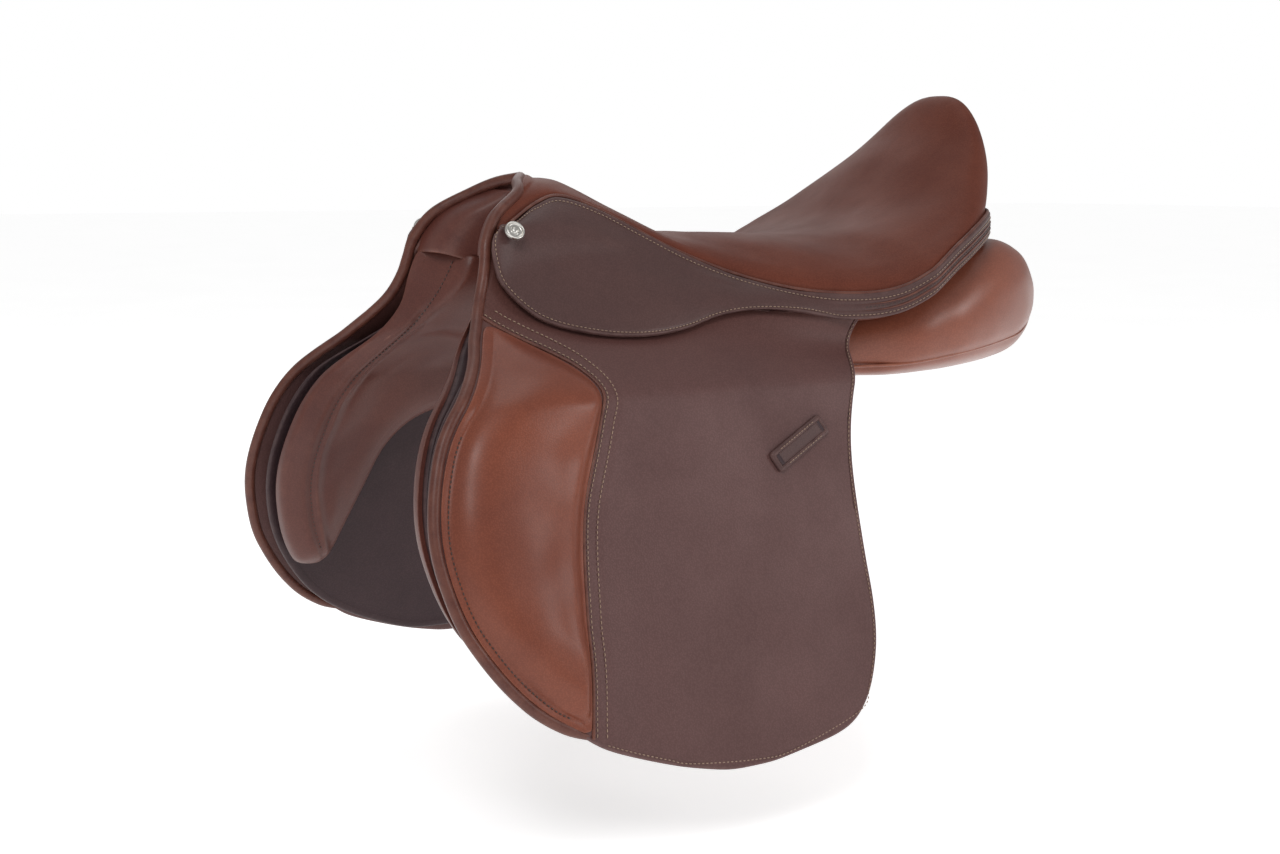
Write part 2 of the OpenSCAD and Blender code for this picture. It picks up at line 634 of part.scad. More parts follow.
module panel_flock_left() {
    near() panel_flock();
}
module panel_flock_right() {
    panel_flock();
}
// Forward part of the panel, under the tree points, and the roll along its front edge
front_rear_edge = [[-165, -205], [-100, -150], [0, -104], [40, -104], [80, -118]];
front_top = 56;
front_bottom = -160;
function front_off(z) = lerp(47, 37, smooth((z - 44) / 26));
module panel_front() {
    function face(fill) = [for (v = steps(10))
        let (z = lerp(front_top, front_bottom, v),
            a = curve(flap_front, z) + 46, b = curve(front_rear_edge, z))
        [for (u = steps(5))
            at_side(lerp(a, b, u), z, -front_off(z) - fill * (4 + 10 * fullness(u, v)))]];
    color("saddlebrown") slab(face(0), face(1));
}
module panel_front_left() {
    near() panel_front();
}
module panel_front_right() {
    panel_front();
}
roll_r = 11;
module knee_roll() {
    color("saddlebrown")
        cord([for (z = [38, 26, 12, -4, -24, -46, -70, -94, -116, -136, -154])
            at_side(curve(flap_front, z) + 22, z, -lerp(40, 47, smooth((z + 10) / 25)))], roll_r);
}
module knee_roll_left() {
    near() knee_roll();
}
module knee_roll_right() {
    knee_roll();
}

// ---- Girth billets ----
billet_first_x = -75;
billet_top = 0;
billet_end = -165;
billet_tip = 14;
hole_count = 6;
first_hole = 22;
outer_off = 7;
inner_off = 13.5;
function billet_off(i) = i == 1 ? inner_off : outer_off;
module billet(i) {
    x = billet_first_x + billet_pitch * i;
    off = billet_off(i);
    side = concat([for (z = [billet_top, billet_end]) [spread(z) - off, z]],
        [for (z = [billet_end, billet_top]) [spread(z) - off - billet_t, z]]);
    color([0.35, 0.22, 0.18]) difference() {
        intersection() {
            translate([x - billet_w / 2, 0, 0]) rotate([90, 0, 90]) linear_extrude(billet_w) polygon(side);
            translate([x, 300, 0]) rotate([90, 0, 0]) linear_extrude(300) polygon([
                [-billet_w / 2 - 1, billet_top + 1], [billet_w / 2 + 1, billet_top + 1],
                [billet_w / 2 + 1, billet_end + billet_tip], [5, billet_end - 1], [-5, billet_end - 1],
                [-billet_w / 2 - 1, billet_end + billet_tip]]);
        }
        for (k = [0:hole_count - 1])
            let (z = billet_end + first_hole + k * hole_pitch)
                translate([x, spread(z) - off, z])
                    rotate([flap_tilt, 0, 0]) across_y(hole_r, -12, 8);
    }
}
module billet_left_1() {
    near() billet(0);
}
module billet_left_2() {
    near() billet(1);
}
module billet_left_3() {
    near() billet(2);
}
module billet_right_1() {
    billet(0);
}
module billet_right_2() {
    billet(1);
}
module billet_right_3() {
    billet(2);
}
web_margin = 13;
module billet_web() {
    a = billet_first_x - web_margin;
    b = billet_first_x + 2 * billet_pitch + web_margin;
    skin = [for (v = steps(4)) [for (u = steps(4)) at_side(lerp(a, b, u), lerp(3.5, 58, v), -9)]];
    color("wheat") slab(skin, [for (r = skin) [for (q = r) q - [0, 2.5, 0]]]);
}
module billet_web_left() {
    near() billet_web();
}
module billet_web_right() {
    billet_web();
}

tree_frame();
head_plate();
gullet_plate();
tree_spring_left();
tree_spring_right();
tree_rivets();
stirrup_bar_left();
stirrup_bar_right();
bar_catch_left();
bar_catch_right();
catch_pin_left();
catch_pin_right();
seat_webbing();
seat_foam();
seat_cover();
seat_welt();
cantle_back();
pommel_rim();
pommel_facing();
skirt_base_left();
skirt_base_right();
skirt_lobe_left();
skirt_lobe_right();
skirt_stud_left();
skirt_stud_right();
flap_head_left();
flap_head_right();
flap_left();
flap_right();
knee_pad_left();
knee_pad_right();
flap_rim_left();
flap_rim_right();
leather_keeper_left();
leather_keeper_right();
sweat_flap_left();
sweat_flap_right();
panel_left();
panel_right();
panel_flock_left();
panel_flock_right();
panel_front_left();
panel_front_right();
knee_roll_left();
knee_roll_right();
billet_web_left();
billet_web_right();
billet_left_1();
billet_left_2();
billet_left_3();
billet_right_1();
billet_right_2();
billet_right_3();
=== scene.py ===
"""Looks of an english saddle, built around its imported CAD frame.

Shapes are worked out in millimetres in the frame's own axes: +X towards the cantle, +Y towards
the off side, +Z up. Side pieces are made for the off side and mirrored to the near side.
"""

import math

import bmesh
import bpy
import numpy as np
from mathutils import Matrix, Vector, noise


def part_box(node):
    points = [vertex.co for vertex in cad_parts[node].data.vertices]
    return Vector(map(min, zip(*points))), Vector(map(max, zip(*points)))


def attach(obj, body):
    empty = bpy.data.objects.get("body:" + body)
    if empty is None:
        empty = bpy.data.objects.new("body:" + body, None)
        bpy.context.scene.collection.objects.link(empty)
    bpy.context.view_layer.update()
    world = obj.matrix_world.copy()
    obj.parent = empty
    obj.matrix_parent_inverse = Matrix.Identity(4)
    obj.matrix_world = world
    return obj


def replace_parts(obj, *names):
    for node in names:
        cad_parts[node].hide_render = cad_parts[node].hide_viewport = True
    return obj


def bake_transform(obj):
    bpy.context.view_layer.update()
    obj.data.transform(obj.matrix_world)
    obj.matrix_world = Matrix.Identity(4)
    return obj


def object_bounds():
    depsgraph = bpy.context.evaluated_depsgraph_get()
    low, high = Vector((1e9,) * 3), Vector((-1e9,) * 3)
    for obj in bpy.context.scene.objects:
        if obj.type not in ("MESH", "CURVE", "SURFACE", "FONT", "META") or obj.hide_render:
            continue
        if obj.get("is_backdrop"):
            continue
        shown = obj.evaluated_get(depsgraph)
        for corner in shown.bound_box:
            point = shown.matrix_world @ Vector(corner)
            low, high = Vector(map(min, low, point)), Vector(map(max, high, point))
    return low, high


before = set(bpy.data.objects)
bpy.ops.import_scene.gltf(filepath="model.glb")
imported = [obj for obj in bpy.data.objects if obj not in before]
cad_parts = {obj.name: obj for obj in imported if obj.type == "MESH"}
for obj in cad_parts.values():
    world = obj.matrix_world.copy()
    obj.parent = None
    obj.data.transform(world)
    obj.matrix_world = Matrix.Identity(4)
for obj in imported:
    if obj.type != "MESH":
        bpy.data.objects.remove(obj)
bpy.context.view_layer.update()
MM = 0.001


# ---- Numbers ----
def lerp(a, b, t):
    return a + (b - a) * t


def smooth(t):
    c = np.clip(t, 0, 1)
    return c * c * (3 - 2 * c)


def curve(table, at):
    """Smooth curve through rows of (place, value), or of (place, value, slope)."""
    p = np.array(table, float)
    at = np.asarray(at, float)
    k = np.arange(len(p))
    before, after = np.maximum(k - 1, 0), np.minimum(k + 1, len(p) - 1)
    slope = p[:, 2] if p.shape[1] == 3 else (p[after, 1] - p[before, 1]) / (p[after, 0] - p[before, 0])
    i = np.clip(np.searchsorted(p[:, 0], at, side="right") - 1, 0, len(p) - 2)
    w = p[i + 1, 0] - p[i, 0]
    t = np.clip((at - p[i, 0]) / w, 0, 1)
    start = (2 * t**3 - 3 * t**2 + 1) * p[i, 1] + (t**3 - 2 * t**2 + t) * slope[i] * w
    return start + (3 * t**2 - 2 * t**3) * p[i + 1, 1] + (t**3 - t**2) * slope[i + 1] * w


def unit(v):
    return v / np.maximum(np.linalg.norm(v, axis=-1, keepdims=True), 1e-9)


def square_to(v, line):
    """The direction nearest to v that is square to a line of length 1."""
    return unit(v - line * (v * line).sum(-1, keepdims=True))


def dome(t, power=2.0):
    """Rises steeply from 0 and levels out at 1."""
    return 1 - (1 - np.clip(t, 0, 1)) ** power


def boxed(wave, power):
    """A sine or cosine wave with squarer shoulders."""
    return np.sign(wave) * np.abs(wave) ** power


def circle(count):
    return np.linspace(0, 2 * math.pi, count, endpoint=False)


def closing(first, last, low, high, count):
    """Places from first towards last that draw together, as on a round end between two angles."""
    return first + (last - first) * np.sin(np.radians(np.linspace(low, high, count)))


def lengths(path):
    return np.concatenate([[0], np.cumsum(np.linalg.norm(np.diff(path, axis=0), axis=1))])


def between(at, places, points):
    """Points of a line, read off at some places along it."""
    return np.stack([np.interp(at, places, points[:, c]) for c in range(points.shape[1])], -1)


def resample(path, count):
    """The same line with a number of evenly spaced points."""
    path = np.asarray(path, float)
    along = lengths(path)
    return between(np.linspace(0, along[-1], count), along, path)


def rounded(p, count):
    """Catmull-Rom line through points, of which the first and last only give a direction."""
    t = np.linspace(0, 1, count, endpoint=False)[:, None]
    spans = [0.5 * (2 * b + (c - a) * t + (2 * a - 5 * b + 4 * c - d) * t**2
                    + (3 * b - a - 3 * c + d) * t**3)
             for a, b, c, d in zip(p, p[1:], p[2:], p[3:])]
    return np.concatenate(spans + [p[-2:-1]])


def smooth_path(points, step=2.0):
    """Smooth line through points, evenly spaced by about step."""
    p = np.asarray(points, float)
    line = rounded(np.concatenate([[2 * p[0] - p[1]], p, [2 * p[-1] - p[-2]]]), 16)
    return resample(line, max(3, int(lengths(line)[-1] / step) + 1))


# ---- The saddle's shape, as in the CAD ----
KNEE_HALF = 141.0
SPLAY = 0.322
REAR_WIDER = 35.0
UPPER = [[0, 141, -SPLAY], [44, 92, -1.15], [65, 72, -0.55], [110, 57, -0.55], [148, 11, -3]]
FLAP_FRONT = [[-236, -113], [-227, -152], [-206, -210], [-182, -251], [-137, -286], [-99, -299],
              [-66, -301], [-26, -291], [-1, -277], [31, -247], [48, -233], [66, -222], [105, -207]]
FLAP_REAR = [[-236, -78], [-226, -18], [-210, 6], [-190, 18], [-169, 25], [-144, 28], [-116, 28],
             [-63, 30], [-35, 34], [-12, 41], [9, 50], [42, 68], [55, 80]]
SEAM_Y = [[-186, 53], [-160, 42], [-138, 36], [-109, 42], [-81, 51], [-54, 61], [-28, 74], [22, 103],
          [74, 130], [112, 146]]
SEAM_Z = [[-186, 118], [-160, 131], [-138, 136], [-109, 126], [-54, 96], [-3, 75], [47, 66], [92, 71],
          [140, 101], [190, 120], [247, 125]]
SEAT_LINE = [[-146, 146], [-134, 147], [-118, 144], [-84, 127], [-49, 111.5], [-20, 105.7], [10, 104],
             [40, 103.3], [70, 102], [100, 104.5], [130, 114], [160, 137], [190, 175], [215, 208],
             [240, 228], [262, 243]]
SEAT_HALF = 146.0
WIDEST_X = 112.0
SEAT_END = 247.0
SEAT_FRONT = -142.0
NOSE_SWEEP = 35.0
NOSE_LENGTH = 90.0
CANTLE_ROUND = 35.0
RIM_FRONT = [[105, -210], [122, -198], [136, -175], [144, -160], [148, -149]]
RIM_R = 4.0
RIM_IN = 4.5  # the rim's middle, behind the flap's front line
RIM_SUNK = 2.5  # and under the side's surface
FLAP_T = 4.6


def spread(z):
    return np.where(np.asarray(z) <= 0, KNEE_HALF - SPLAY * np.asarray(z), curve(UPPER, z))


def side_y(x, z):
    """How far out the saddle's side is: above the flap's fold it widens towards the rear."""
    rear = smooth((np.asarray(x) + 100) / 170)
    return spread(z) + REAR_WIDER * rear * smooth((np.asarray(z) - 20) / 40)


def at_side(x, z, off=0.0):
    """Points on the saddle's side, moved out by off across the saddle."""
    x, z, off = np.broadcast_arrays(np.asarray(x, float), z, off)
    return np.stack([x, side_y(x, z) + off, z], -1)


def side_normal(x, z):
    slope_x = side_y(x + 1, z) - side_y(x - 1, z)
    slope_z = side_y(x, z + 1) - side_y(x, z - 1)
    return unit(np.stack([-slope_x / 2, np.ones_like(slope_x), -slope_z / 2], -1))


def seat_half(x):
    round_end = np.clip((x - WIDEST_X) / (SEAT_END - WIDEST_X), 0, 1)
    return np.where(x <= WIDEST_X, curve(SEAM_Y, x), SEAT_HALF * (1 - round_end**1.85) ** (1 / 1.85))


def seam_off(x, out, down):
    """The seam round the seat, moved outwards level with the ground and down."""
    x = np.asarray(x, float)
    narrows = seat_half(x - 1) - seat_half(np.minimum(x + 1, SEAT_END - 0.01))
    seam = np.stack([x, seat_half(x), curve(SEAM_Z, x) - down], -1)
    return seam + out * unit(np.stack([narrows, 2 + 0 * x, 0 * x], -1))


def seat_point(x, t, drop=0.0, inset=0.0):
    """A point of the seat: x runs along its middle, and t from -1 to 1 across it."""
    # The nose's sides reach further forward than its middle
    xc = x - NOSE_SWEEP * (1 - smooth((x - SEAT_FRONT) / NOSE_LENGTH))
    half = seat_half(xc) - inset * np.minimum(1, seat_half(xc) / 50)
    edge = curve(SEAM_Z, xc)
    # The middle line drops to the seam round the cantle's end
    end_dome = (1 - np.clip((x - SEAT_END + CANTLE_ROUND) / CANTLE_ROUND, 0, 1) ** 2.5) ** 0.48
    crown = lerp(edge, curve(SEAT_LINE, x) - drop, end_dome)
    # Sections are rounder in front, and broader towards the cantle, which leans back
    k = smooth((x - 40) / 130)
    rise = (crown - edge) * (1 - np.minimum(1, np.abs(t)) ** lerp(1.8, 2.7, k)) ** (1 / lerp(1.6, 1.33, k))
    lean = 16 * smooth((x - 120) / 90) * dome(rise / 70)
    back = inset * (1 - end_dome)
    return np.stack([lerp(x, xc, np.abs(t) ** 1.5) + lean - back, np.maximum(half, 0) * t, edge + rise], -1)


def front_slant(z):
    """Length of the flap's front line for each unit of its height."""
    return np.sqrt(1 + ((curve(FLAP_FRONT, z + 2) - curve(FLAP_FRONT, z - 2)) / 4) ** 2)


# ---- Mesh building ----
def linked(name, data):
    obj = bpy.data.objects.new(name, data)
    bpy.context.scene.collection.objects.link(obj)
    return obj


def cleaned(mesh, material, merge):
    """Merges points closer than merge, turns the faces outwards and gives the material."""
    work = bmesh.new()
    work.from_mesh(mesh)
    bmesh.ops.remove_doubles(work, verts=work.verts, dist=merge)
    bmesh.ops.dissolve_degenerate(work, dist=MM / 1000, edges=work.edges)
    bmesh.ops.recalc_face_normals(work, faces=work.faces)
    work.to_mesh(mesh)
    work.free()
    mesh.materials.clear()
    mesh.materials.append(material)
    return linked(mesh.name, mesh)


def add_mesh(name, verts, faces, material):
    mesh = bpy.data.meshes.new(name)
    mesh.from_pydata((np.asarray(verts) * MM).tolist(), [], [tuple(int(i) for i in f) for f in faces])
    obj = cleaned(mesh, material, MM / 100)
    obj.data.shade_smooth()
    return obj


def grid_faces(rows, columns, first=0, wrap=False):
    r = np.arange(rows - 1)[:, None]
    c = np.arange(columns if wrap else columns - 1)[None, :]
    a = first + r * columns + c
    b = first + r * columns + (c + 1) % columns
    return np.stack([a, b, b + columns, a + columns], -1).reshape(-1, 4)


def shell(name, front, back, material):
    """A sheet closed between two grids of points."""
    rows, columns = front.shape[:2]
    n = rows * columns
    index = np.arange(n).reshape(rows, columns)
    edge = np.concatenate([index[0], index[1:, -1], index[-1, -2::-1], index[-2:0:-1, 0]])
    after = np.roll(edge, -1)
    faces = [*grid_faces(rows, columns), *grid_faces(rows, columns, n)[:, ::-1],
             *np.stack([edge, edge + n, after + n, after], -1)]
    return add_mesh(name, np.concatenate([front.reshape(-1, 3), back.reshape(-1, 3)]), faces, material)


def grid_normals(p, toward):
    n = unit(np.cross(np.gradient(p, axis=0), np.gradient(p, axis=1)))
    return n if (n * toward).sum() > 0 else -n


def loft(name, rings, material):
    """A closed body through rings, each with the same number of points."""
    count, around = rings.shape[:2]
    ends = np.stack([rings[0].mean(0), rings[-1].mean(0)])
    k = np.arange(around)
    last = (count - 1) * around
    caps = [(count * around, (i + 1) % around, i) for i in k]
    caps += [(count * around + 1, last + i, last + (i + 1) % around) for i in k]
    faces = [*grid_faces(count, around, wrap=True), *caps]
    return add_mesh(name, np.concatenate([rings.reshape(-1, 3), ends]), faces, material)


def cord_rings(path, radius, sides=14):
    """Rings of a round cord along a path, with rounded ends."""
    path = np.asarray(path, float)
    radius = np.broadcast_to(np.asarray(radius, float), len(path))
    tangent = unit(np.gradient(path, axis=0))
    side = unit(np.cross(tangent[0], [0.31, 0.22, 0.92]))
    angle = circle(sides)[:, None]
    turns = []
    for direction in tangent:
        side = square_to(side, direction)
        turns.append(np.cos(angle) * side + np.sin(angle) * np.cross(direction, side))
    places = [(0, -80), (0, -55), (0, -28)] + [(i, 0) for i in range(len(path))]
    places += [(len(path) - 1, a) for a in (28, 55, 80)]
    return np.array([path[i] + radius[i] * (tangent[i] * math.sin(math.radians(a))
                                            + turns[i] * math.cos(math.radians(a))) for i, a in places])


def cord(name, path, radius, material, sides=14):
    return loft(name, cord_rings(path, radius, sides), material)


def flat_rings(sides, step, rings, soften):
    """Points of a flat piece: rings set in from its outline, and a grid inside them.

    sides are the outline's four lines, end to end. Returns the points, how far each is from the
    outline, the faces, and how many points the outline has."""
    span = [lengths(np.asarray(s, float))[-1] for s in sides]
    n = max(4, int(max(span[0], span[2]) / step))
    m = max(4, int(max(span[1], span[3]) / step))
    loop = np.concatenate([resample(s, c + 1)[:-1] for s, c in zip(sides, (n, m, n, m))])
    for _ in range(soften):
        loop = (np.roll(loop, 1, 0) + 2 * loop + np.roll(loop, -1, 0)) / 4
    after = np.roll(loop, -1, 0) - loop
    area = (loop[:, 0] * np.roll(loop[:, 1], -1) - loop[:, 1] * np.roll(loop[:, 0], -1)).sum()
    edge_in = unit(np.stack([-after[:, 1], after[:, 0]], -1)) * np.sign(area)
    inward = unit(edge_in + np.roll(edge_in, 1, 0))
    inward /= np.maximum((inward * edge_in).sum(1, keepdims=True), 0.62)
    layers = [loop + d * inward for d in rings]
    count = len(loop)
    last = layers[-1]
    a, b, c = n, n + m, 2 * n + m
    top, rear = last[: a + 1], last[a : b + 1]
    low, front = last[b : c + 1][::-1], np.concatenate([last[c:], last[:1]])[::-1]
    u = np.linspace(0, 1, n + 1)[:, None, None]
    v = np.linspace(0, 1, m + 1)[None, :, None]
    patch = ((1 - v) * top[:, None] + v * low[:, None] + (1 - u) * front[None] + u * rear[None]
             - (1 - u) * (1 - v) * top[0] - u * (1 - v) * top[-1] - (1 - u) * v * low[0] - u * v * low[-1])
    inner = patch[1:-1, 1:-1].reshape(-1, 2)
    index = np.zeros((n + 1, m + 1), int)
    base = (len(rings) - 1) * count
    index[:, 0] = base + np.arange(n + 1)
    index[-1, :] = base + n + np.arange(m + 1)
    index[::-1, -1] = base + b + np.arange(n + 1)
    index[0, ::-1] = base + (c + np.arange(m + 1)) % count
    index[1:-1, 1:-1] = base + count + np.arange(len(inner)).reshape(n - 1, m - 1)
    quads = np.stack([index[:-1, :-1], index[1:, :-1], index[1:, 1:], index[:-1, 1:]], -1).reshape(-1, 4)
    faces = np.concatenate([grid_faces(len(rings), count, wrap=True), quads])
    points = np.concatenate(layers + [inner])
    depth = np.concatenate([np.full(count, d) for d in rings] + [distance_to(loop, *inner.T)])
    return points, depth, faces, count


EDGE_RINGS = (0, 0.35, 0.9, 1.7, 2.6, 3.5, 4.6)


def sheet(name, sides, place, front, back, material, step=4.0, soften=2, rings=EDGE_RINGS):
    """A piece cut from a flat outline. place(x, z, off) puts it in space; front and back are its
    two faces' heights, or give them from how far a point is from the outline, and from x and z."""
    points, depth, faces, count = flat_rings(sides, step, rings, soften)
    x, z = points.T
    total = len(points)
    outside, inside = [place(x, z, f(depth, x, z) if callable(f) else f) for f in (front, back)]
    edge = np.arange(count)
    after = np.roll(edge, -1)
    rim = np.stack([edge, edge + total, after + total, after], -1)
    return add_mesh(name, np.concatenate([outside, inside]), [*faces, *(faces[:, ::-1] + total), *rim],
                    material)


def edge_round(depth, r):
    """How far a rounded edge of radius r falls away."""
    return 0.92 * r * (1 - np.sqrt(dome(depth / r)))


def groove(distance, width, deep):
    return -deep * np.exp(-((distance / width) ** 2))


def distance_to(path, x, z):
    path = np.asarray(path)
    return np.array([np.sqrt(((path - q) ** 2).sum(1).min()) for q in np.stack([x, z], -1)])


def ripple(points, size, amount):
    """Slow unevenness of leather, the same every time."""
    points = np.asarray(points, float)
    wave = [noise.noise(Vector(p / size)) for p in points.reshape(-1, 3)]
    return np.array(wave).reshape(points.shape[:-1]) * amount


def stitches(name, paths, normals, material, pitch=3.4, length=2.4, r=0.42):
    """Thread laid along lines: paths are lists of points and normals their facing, one per path."""
    body = [(-length / 2, 0, 0)]
    for a, share in ((-0.44, 0.55), (-0.22, 1), (0.22, 1), (0.44, 0.55)):
        body += [(a * length, math.cos(t) * r * share, math.sin(t) * r * share) for t in circle(6)]
    forward, sideways, raised = np.array(body + [(length / 2, 0, 0)]).T[..., None]
    # The thread bows up between its two holes
    raised = raised + 0.3 * (1 - (2 * forward / length) ** 2) - 0.05
    k = np.arange(6)
    faces = [(0, 1 + (i + 1) % 6, 1 + i) for i in k] + [(25, 19 + i, 19 + (i + 1) % 6) for i in k]
    faces += [tuple(f) for f in grid_faces(4, 6, first=1, wrap=True)]
    verts, all_faces = [], []
    for path, facing in zip(paths, normals):
        path = np.asarray(path, float)
        facing = np.broadcast_to(np.asarray(facing, float), path.shape)
        along = lengths(path)
        at = np.arange(pitch / 2, along[-1], pitch)
        centre, tangent, up = [between(at, along, q) for q in (path, np.gradient(path, axis=0), facing)]
        tangent = unit(tangent)
        up = square_to(up, tangent)
        for c, t, u, s in zip(centre, tangent, up, np.cross(up, tangent)):
            all_faces += [tuple(i + 26 * len(verts) for i in f) for f in faces]
            verts.append(c + forward * t + sideways * s + raised * u)
    return add_mesh(name, np.concatenate(verts), all_faces, material)


def coords(obj):
    co = np.empty(len(obj.data.vertices) * 3, np.float32)
    obj.data.vertices.foreach_get("co", co)
    return co.reshape(-1, 3).astype(float) / MM


def set_coords(obj, points):
    obj.data.vertices.foreach_set("co", (points * MM).astype(np.float32).ravel())
    obj.data.update()


CLOTH_FRAMES = 20


def puff(obj, held, cap, pressure=4.0, growth=0.03, stiffness=12.0, evenness=24):
    """Fills a padded piece by cloth simulation. held(points) says which points stay sewn down."""
    rest = coords(obj)
    group = obj.vertex_groups.new(name="held")
    group.add([int(i) for i in np.flatnonzero(held(rest))], 1.0, "REPLACE")
    cloth = obj.modifiers.new("puff", "CLOTH")
    settings = cloth.settings
    settings.use_pressure = True
    settings.uniform_pressure_force = pressure
    settings.vertex_group_mass = "held"
    settings.shrink_min = -growth
    settings.quality = 5
    settings.tension_stiffness = stiffness
    settings.compression_stiffness = stiffness
    settings.bending_stiffness = 0.6
    settings.effector_weights.gravity = 0
    cloth.point_cache.frame_start = 1
    cloth.point_cache.frame_end = CLOTH_FRAMES
    for step in range(1, CLOTH_FRAMES + 1):
        bpy.context.scene.frame_set(step)
    move = coords(obj.evaluated_get(bpy.context.evaluated_depsgraph_get())) - rest
    # Thick filling evens out the leather's small dents
    edges = np.array([e.vertices[:] for e in obj.data.edges])
    near = np.bincount(edges.ravel(), minlength=len(rest))[:, None]
    fixed = held(rest)
    for _ in range(evenness):
        around = np.zeros_like(move)
        for a, b in ((0, 1), (1, 0)):
            np.add.at(around, edges[:, a], move[edges[:, b]])
        move = (move + around / near) / 2
        move[fixed] = 0
    size = np.linalg.norm(move, axis=1, keepdims=True)
    obj.modifiers.remove(cloth)
    set_coords(obj, rest + move / np.maximum(size, 1e-6) * cap * np.tanh(size / cap))
    bpy.context.scene.frame_set(1)


def refine(obj):
    modifier = obj.modifiers.new("refine", "SUBSURF")
    modifier.levels = modifier.render_levels = 1
    return obj


def mirrored(obj, name):
    """The same piece on the near side."""
    mesh = obj.data.copy()
    mesh.name = name
    twin = linked(name, mesh)
    set_coords(twin, coords(twin) * [1, -1, 1])
    mesh.flip_normals()
    return refine(twin) if obj.modifiers else twin


def one_piece(obj, body="saddle", bend=None, stands_for="", slot=None):
    """Joins a piece to the frame, riding on its body; a piece given a bend line is only fixed where it is,
    and does not bend.
    """
    if bend:
        Vector(bend[0]) * MM
        Vector(bend[1]) * MM
        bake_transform(obj)
    else:
        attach(obj, body)
    if stands_for:
        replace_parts(obj, *stands_for.split())
    slot = slot or SLOTS.get(obj.data.materials[0].name)


def both_sides(obj, base, body="saddle", bend=None, stands_for="", slot=None):
    """Mirrors an off side piece, and joins both. {side} in a name is right or left."""
    twin = mirrored(obj, base + "_left")
    obj.name = base + "_right"
    for side, piece, across in (("right", obj, 1), ("left", twin, -1)):
        line = bend and [(x, y * across, z) for x, y, z in bend]
        one_piece(piece, body.format(side=side), line, stands_for.format(side=side), slot)
    return obj


# ---- Materials ----
WAVE_PITCH = 0.31  # a wave node's scale for one band per unit of length


class Paint:
    """A node material under construction."""

    def __init__(self, name):
        self.material = bpy.data.materials.new(name)
        self.material.use_nodes = True
        self.tree = self.material.node_tree
        self.surface = self.tree.nodes["Principled BSDF"]
        self.place = self.add("ShaderNodeTexCoord").outputs["Object"]

    def feed(self, socket, value):
        """Gives a socket a number, a colour or another node's output."""
        if isinstance(value, bpy.types.NodeSocket):
            self.tree.links.new(value, socket)
        elif isinstance(value, tuple) and len(value) < len(socket.default_value):
            socket.default_value = (*value, 1)
        else:
            socket.default_value = value

    def fill(self, node, inputs):
        for key, value in inputs.items():
            self.feed(node.inputs[key.replace("_", " ")], value)
        return node

    def add(self, kind, **inputs):
        return self.fill(self.tree.nodes.new(kind), inputs)

    def set(self, **inputs):
        self.fill(self.surface, inputs)

    def noise(self, size, detail=3.0, roughness=0.55, stretch=None):
        """Noise whose features are about size millimetres."""
        vector = self.place
        if stretch:
            vector = self.add("ShaderNodeMapping", Vector=vector, Scale=stretch).outputs[0]
        node = self.add("ShaderNodeTexNoise", Vector=vector, Scale=1 / (size * MM), Detail=detail,
                        Roughness=roughness)
        return node.outputs["Fac"]

    def cells(self, size):
        node = self.add("ShaderNodeTexVoronoi", Vector=self.place, Scale=1 / (size * MM))
        return node.outputs["Distance"]

    def ramp(self, value, low, high, to_low=0.0, to_high=1.0):
        return self.add("ShaderNodeMapRange", Value=value, From_Min=low, From_Max=high, To_Min=to_low,
                        To_Max=to_high).outputs[0]

    def math(self, operation, a, b):
        node = self.add("ShaderNodeMath")
        node.operation = operation
        self.feed(node.inputs[0], a)
        self.feed(node.inputs[1], b)
        return node.outputs[0]

    def plus(self, a, b, share=1.0):
        """a, and a share of b."""
        return self.math("ADD", a, self.math("MULTIPLY", b, share))

    def mix(self, share, a, b, kind="MIX"):
        node = self.add("ShaderNodeMix")
        node.data_type = "RGBA"
        node.blend_type = kind
        for index, value in ((0, share), (6, a), (7, b)):
            self.feed(node.inputs[index], value)
        return node.outputs[2]

    def bands(self, size, distortion, direction="X"):
        node = self.add("ShaderNodeTexWave", Vector=self.place, Scale=WAVE_PITCH / (size * MM),
                        Distortion=distortion)
        node.bands_direction = direction
        return node.outputs["Fac"]

    def bump(self, height, strength, distance):
        node = self.add("ShaderNodeBump", Height=height, Strength=strength, Distance=distance * MM)
        return node.outputs[0]


